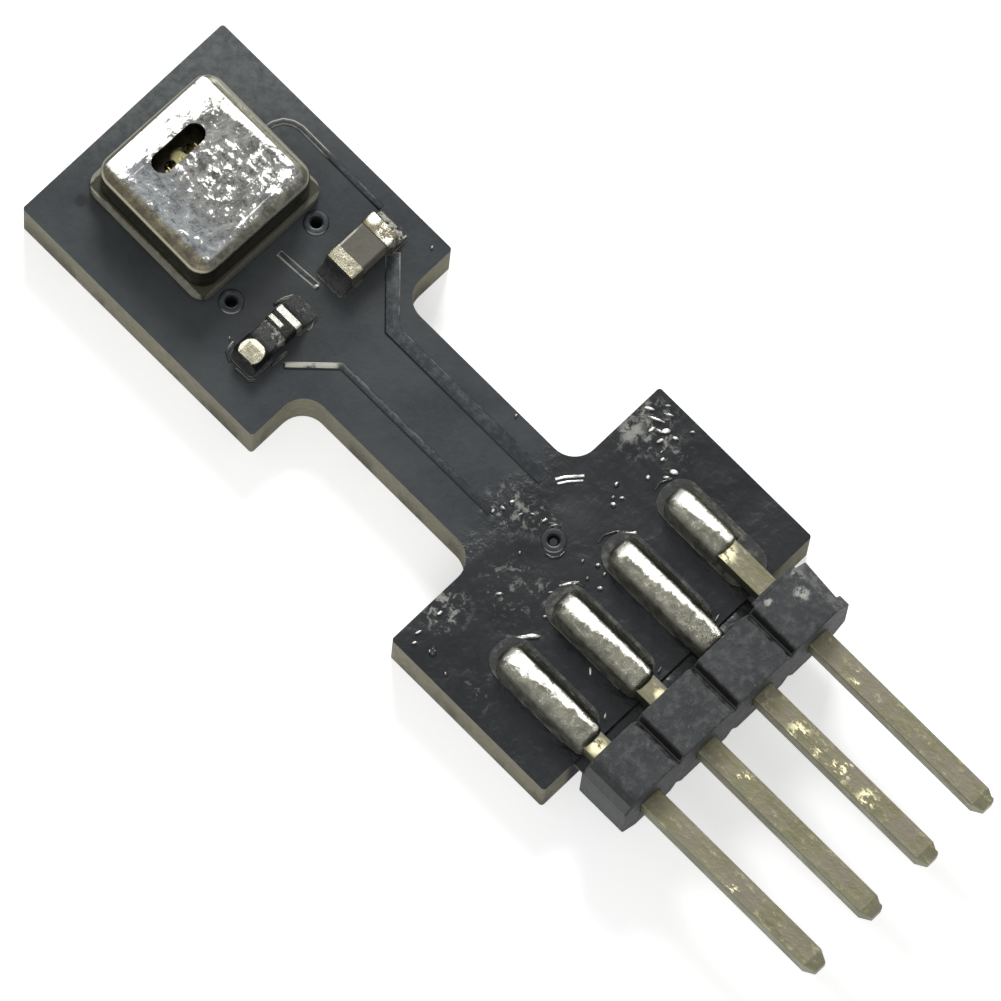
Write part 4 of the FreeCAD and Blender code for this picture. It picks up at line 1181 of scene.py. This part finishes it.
# x, y, width, share of height, turn in degrees
FLUX_BEADS = (
    (-0.281, 3.894, 0.1, 1.0, 20), (0.038, 3.784, 0.13, 0.7, 70), (-0.139, 3.842, 0.11, 0.7, 10),
    (0.161, 3.224, 0.1, 0.7, 50), (0.272, 3.003, 0.12, 0.7, 35), (1.464, 2.814, 0.1, 1.0, 0),
    (1.192, 2.609, 0.11, 1.0, 60), (1.27, 2.7, 0.07, 1.0, 25), (0.293, 2.064, 0.1, 1.0, 80),
    (0.017, 2.022, 0.08, 1.0, 15), (0.168, 2.285, 0.07, 1.0, 45), (0.264, 1.882, 0.09, 1.0, 5),
    (-0.464, 3.093, 0.08, 0.8, 65), (1.111, 4.772, 0.07, 0.8, 30), (2.125, 7.751, 0.07, 0.8, 0),
    (-2.63, 2.89, 0.16, 1.0, 40), (-2.74, 2.48, 0.09, 1.0, 75),
)
# x, y, width, length, turn in degrees
WHITE_FLECKS = (
    (-0.281, 3.894, 0.06, 0.07, 0), (1.475, 2.83, 0.05, 0.07, 0), (1.2, 2.62, 0.06, 0.09, -60),
    (1.275, 2.705, 0.04, 0.06, -30), (0.3, 2.07, 0.045, 0.08, -45), (0.02, 2.03, 0.04, 0.05, 0),
    (0.172, 2.29, 0.035, 0.05, 0), (0.268, 1.885, 0.05, 0.06, 0), (-2.63, 2.9, 0.09, 0.12, -45),
    (0.05, 3.79, 0.05, 0.09, -40), (1.116, 4.775, 0.035, 0.05, 0), (-0.462, 3.096, 0.035, 0.04, 0),
    (1.37, 2.6, 0.045, 0.08, -45), (1.92, 2.55, 0.07, 0.07, 0), (0.05, 1.77, 0.06, 0.1, -50),
    (2.28, 2.32, 0.09, 0.14, -60), (2.13, 2.34, 0.05, 0.11, -50), (2.75, 3.36, 0.05, 0.17, -60),
    (3.0, 3.18, 0.03, 0.1, -50), (2.7, 3.16, 0.04, 0.3, -65), (2.9, 3.07, 0.04, 0.16, -60),
    (2.68, 2.9, 0.09, 0.14, -40), (2.53, 3.08, 0.06, 0.14, -10), (2.49, 2.85, 0.06, 0.13, -20),
    (2.7, 2.71, 0.05, 0.1, -60), (2.38, 2.7, 0.03, 0.06, 0), (2.3, 2.6, 0.05, 0.08, -20),
    (2.97, 2.59, 0.03, 0.08, -45), (2.6, 2.98, 0.04, 0.12, -75), (-0.28, 2.18, 0.05, 0.2, -35),
    (-0.15, 2.09, 0.04, 0.08, -20), (-1.3, 1.96, 0.08, 0.24, -45), (1.06, 2.07, 0.04, 0.18, -50),
    (1.01, 2.13, 0.03, 0.05, 0), (-0.22, 0.13, 0.03, 0.13, 16), (-1.04, 0.89, 0.05, 0.14, 45),
    (1.055, 0.1, 0.035, 0.14, 16), (-1.4, 0.19, 0.04, 0.11, 35), (-2.57, 3.28, 0.04, 0.12, -20),
    (-2.74, 3.2, 0.04, 0.08, -30), (-2.1, 3.27, 0.05, 0.1, -10), (-0.57, 2.27, 0.03, 0.09, -45),
    (-0.92, 2.05, 0.03, 0.07, -45), (-1.18, 2.83, 0.04, 0.11, -45), (-0.13, 3.82, 0.05, 0.09, -70),
    (0.14, 3.41, 0.03, 0.08, -60), (0.0, 3.54, 0.03, 0.08, -30), (0.21, 3.2, 0.04, 0.1, -20),
    (0.26, 3.03, 0.03, 0.12, -35), (-1.85, 0.02, 0.03, 0.08, -45), (-2.74, 2.49, 0.03, 0.04, 0),
    (2.13, 7.75, 0.04, 0.05, 0), (0.53, 8.58, 0.04, 0.06, -45), (0.325, 8.58, 0.05, 0.09, -45),
    (-1.31, 8.93, 0.03, 0.04, 0),
)
# name, points, share of the ridges' width
FLUX_LINES = (
    ("flux_line_1", ((-1.86, 2.12), (-1.79, 2.2), (-1.6, 2.19), (-1.455, 2.1), (-1.23, 1.885)), 1.0),
    ("flux_line_2", ((-0.44, 2.24), (-0.3, 2.22), (-0.154, 2.11), (-0.115, 1.97)), 1.2),
    ("flux_line_3", ((0.56, 2.34), (0.72, 2.36), (0.9, 2.27), (1.04, 2.12)), 1.0),
    ("flux_line_4", ((1.84, 2.33), (2.0, 2.35), (2.2, 2.26)), 1.0),
    ("flux_line_5", ((-0.17, 2.79), (-0.15, 2.68), (-0.05, 2.6), (0.08, 2.6)), 0.9),
    ("flux_line_6", ((0.2, 3.14), (0.29, 3.05), (0.33, 2.93)), 0.9),
)
# points, share of the ridges' width
WHITE_LINES = (
    (((0.82, 3.575), (0.95, 3.5), (1.2, 3.285)), 0.9),
    (((0.79, 3.5), (0.93, 3.41), (1.13, 3.24)), 0.7),
    (((-1.52, 2.13), (-1.4, 2.045), (-1.27, 1.92)), 1.1),
    (((-0.4, 2.25), (-0.28, 2.19), (-0.16, 2.1)), 0.9),
    (((0.95, 2.15), (1.04, 2.09), (1.14, 2.03)), 0.7),
)
LINE_FLANK, WHITE_FLANK = 0.7, 0.5
# a bead's length across its width; a fleck's height, and its place over the board
BEAD_LONG = 0.8
FLECK_HIGH, FLECK_LIFT = 0.045, 0.02
# flux in the plate's via: width and height, and how far it lies under the board's face
PLUG_WIDE, PLUG_HIGH, PLUG_DEEP = 0.196, 0.03, 0.09
# flux between the board and the block, and along the block's rear edge round the last pin:
# points, width, height, how far its foot lies under the face beside it
FLUX_WEB = (((-2.3, -0.165), (1.66, -0.165)), 0.32, 0.05, 0.1)
BLOCK_CRUST = (((1.4, -0.312), (1.74, -0.3), (2.1, -0.31), (2.33, -0.325)), 0.1, 0.08, 0.105)
CRUST_FLANK = 0.02


class MODULE_OT_flux(bpy.types.Operator):
    """Set flux: beads, lines and white flecks on the plate, a skin under the pins and a crust on the block"""
    bl_idname = "sensor_module.flux"
    bl_label = "Flux residue"

    def execute(self, context):
        sizes = settings().flux
        for name, points, share in FLUX_LINES:
            lay_ridge(name, points, sizes.line * share, sizes.film, sizes.film * LINE_FLANK, "flux")
        for number, (points, share) in enumerate(WHITE_LINES, start=1):
            lay_ridge("white_line_%d" % number, points, sizes.line * share,
                      sizes.film, sizes.film * WHITE_FLANK, "fleck")
        bead = self.build_bead()
        for number, (x, y, wide, share, turn) in enumerate(FLUX_BEADS, start=1):
            size = Vector((wide, wide * BEAD_LONG, wide * sizes.bead / MM * share))
            self.set_down(bead, "flux_bead_%d" % number, (x, y, BOARD_TOP), size, turn, "flux")
        for number, (x, y, wide, long, turn) in enumerate(WHITE_FLECKS, start=1):
            size = Vector((long, wide, FLECK_HIGH))
            self.set_down(bead, "white_fleck_%d" % number, (x, y, BOARD_TOP + FLECK_LIFT), size, turn, "fleck")
        size = Vector((PLUG_WIDE, PLUG_WIDE, PLUG_HIGH))
        self.set_down(bead, "flux_plug", (*PLATE_VIA, BOARD_TOP - PLUG_DEEP), size, 0, "flux")
        for name, crust, slot, top in (
                ("flux_web", FLUX_WEB, "board", BOARD_TOP), ("block_crust", BLOCK_CRUST, "block", BLOCK_TOP)):
            points, wide, high, deep = crust
            lay_ridge(name, points, wide * MM, high * MM, CRUST_FLANK * MM, slot, top - deep)
        bpy.data.objects.remove(bead)
        return {"FINISHED"}

    def build_bead(self):
        """Drop one millimetre wide and high, with its top drawn to one side."""
        piece = begin("bead", bpy.ops.mesh.primitive_uv_sphere_add, segments=16, ring_count=10, radius=0.5 * MM)
        halve(piece, (0, 0, 0))
        resize(piece, 1, 1, 2, (0, 0, 0))
        pick(piece, "verts", lambda vert: vert.co.z > 0.7 * MM)
        shift(x=0.09 * MM, y=0.05 * MM)
        # the foot spreads on that side
        pick(piece, "verts", lambda vert: vert.co.z < 0.4 * MM and vert.co.x > 0.1 * MM)
        resize(piece, 1.12, 0.94, 1, (0, 0, 0))
        close_mesh()
        return piece

    def set_down(self, bead, name, place, size, turn, finish):
        """Copy of the bead at that place and size, turned by that many degrees."""
        turned = Matrix.Rotation(math.radians(turn), 3, "Z").to_quaternion()
        matrix = Matrix.LocRotScale(Vector(place) * MM, turned, size)
        dress_piece(copy_piece(bead, name, matrix), finish)


# the drops' places from the die's middle, their radius, and how they spread
GEL_ASIDE, GEL_FRONT = (-0.215, 0.205), 0.1
GEL_RADIUS = 0.09
GEL_SPREAD = (1.2, 0.9, 0.8)


class MODULE_OT_slot_gel(bpy.types.Operator):
    """Two drops of clear gel on the sensing die, seen through the vent slot"""
    bl_idname = "sensor_module.slot_gel"
    bl_label = "Slot gel"

    def execute(self, context):
        middle = (DIE_LOW + DIE_HIGH) / 2
        for number, aside in enumerate(GEL_ASIDE, start=1):
            place = Vector((middle.x + aside, middle.y - GEL_FRONT, DIE_HIGH.z)) * MM
            piece = begin("die_gel_%d" % number, bpy.ops.mesh.primitive_ico_sphere_add, subdivisions=3,
                          radius=GEL_RADIUS * MM, location=place)
            halve(piece, place)
            resize(piece, *GEL_SPREAD, place)
            close_mesh()
            dress_piece(piece, "gel")
        return {"FINISHED"}


# a burr's place from the tip of its pin's middle line, and its size
BURR_PLACE = Vector((0.05, 0.065, 0.06))
BURR_SIZE = Vector((0.16, 0.1, 0.12))


class MODULE_OT_burrs(bpy.types.Operator):
    """Burrs left at the cut tips of three pins"""
    bl_idname = "sensor_module.burrs"
    bl_label = "Pin burrs"

    def execute(self, context):
        for number in (2, 3, 4):
            low, high = PINS[number - 1]
            tip = Vector(((low.x + high.x) / 2, low.y, (low.z + high.z) / 2))
            piece = begin("pin_burr_%d" % number, bpy.ops.mesh.primitive_cube_add, size=1.0,
                          location=(tip + BURR_PLACE) * MM, scale=BURR_SIZE * MM)
            pick(piece, "faces", lambda face: face.normal.y < -0.9)
            extrude(x=0.02 * MM, y=-0.012 * MM)
            resize(piece, 0.6, 1, 0.5)
            pick(piece, "faces", lambda face: face.normal.x > 0.9)
            extrude(x=0.03 * MM)
            resize(piece, 1, 0.55, 0.6)
            pick_all()
            bpy.ops.mesh.bevel(offset=0.012 * MM, segments=2)
            close_mesh()
            dress_piece(piece, "pin")
        return {"FINISHED"}


class MODULE_PT_sidebar(bpy.types.Panel):
    bl_idname = "MODULE_PT_sidebar"
    bl_label = "Sensor Module"
    bl_space_type = "VIEW_3D"
    bl_region_type = "UI"
    bl_category = "Sensor Module"

    def draw(self, context):
        for operator in OPERATORS:
            self.layout.operator(operator.bl_idname)
        for group in ("colours", "traces", "solder", "flux", "stage"):
            box = self.layout.box()
            box.label(text=group.capitalize())
            values = getattr(settings(), group)
            for name in values.__annotations__:
                box.prop(values, name)


OPERATORS = (
    MODULE_OT_stage, MODULE_OT_dress, MODULE_OT_traces, MODULE_OT_via_rims, MODULE_OT_solder,
    MODULE_OT_flux, MODULE_OT_slot_gel, MODULE_OT_burrs,
)
GROUPS = (ModuleColours, ModuleTraces, ModuleSolder, ModuleFlux, ModuleStage, ModuleSettings)
CLASSES = GROUPS + OPERATORS + (MODULE_PT_sidebar,)


def register():
    for item in CLASSES:
        bpy.utils.register_class(item)
    bpy.types.Scene.sensor_module = bpy.props.PointerProperty(type=ModuleSettings)


def unregister():
    del bpy.types.Scene.sensor_module
    for item in reversed(CLASSES):
        bpy.utils.unregister_class(item)


def main():
    register()
    bpy.ops.sensor_module.stage()
    bpy.ops.sensor_module.dress()
    bpy.ops.sensor_module.traces()
    bpy.ops.sensor_module.via_rims()
    bpy.ops.sensor_module.solder()
    bpy.ops.sensor_module.flux()
    bpy.ops.sensor_module.slot_gel()
    bpy.ops.sensor_module.burrs()


if __name__ == "__main__":
    main()
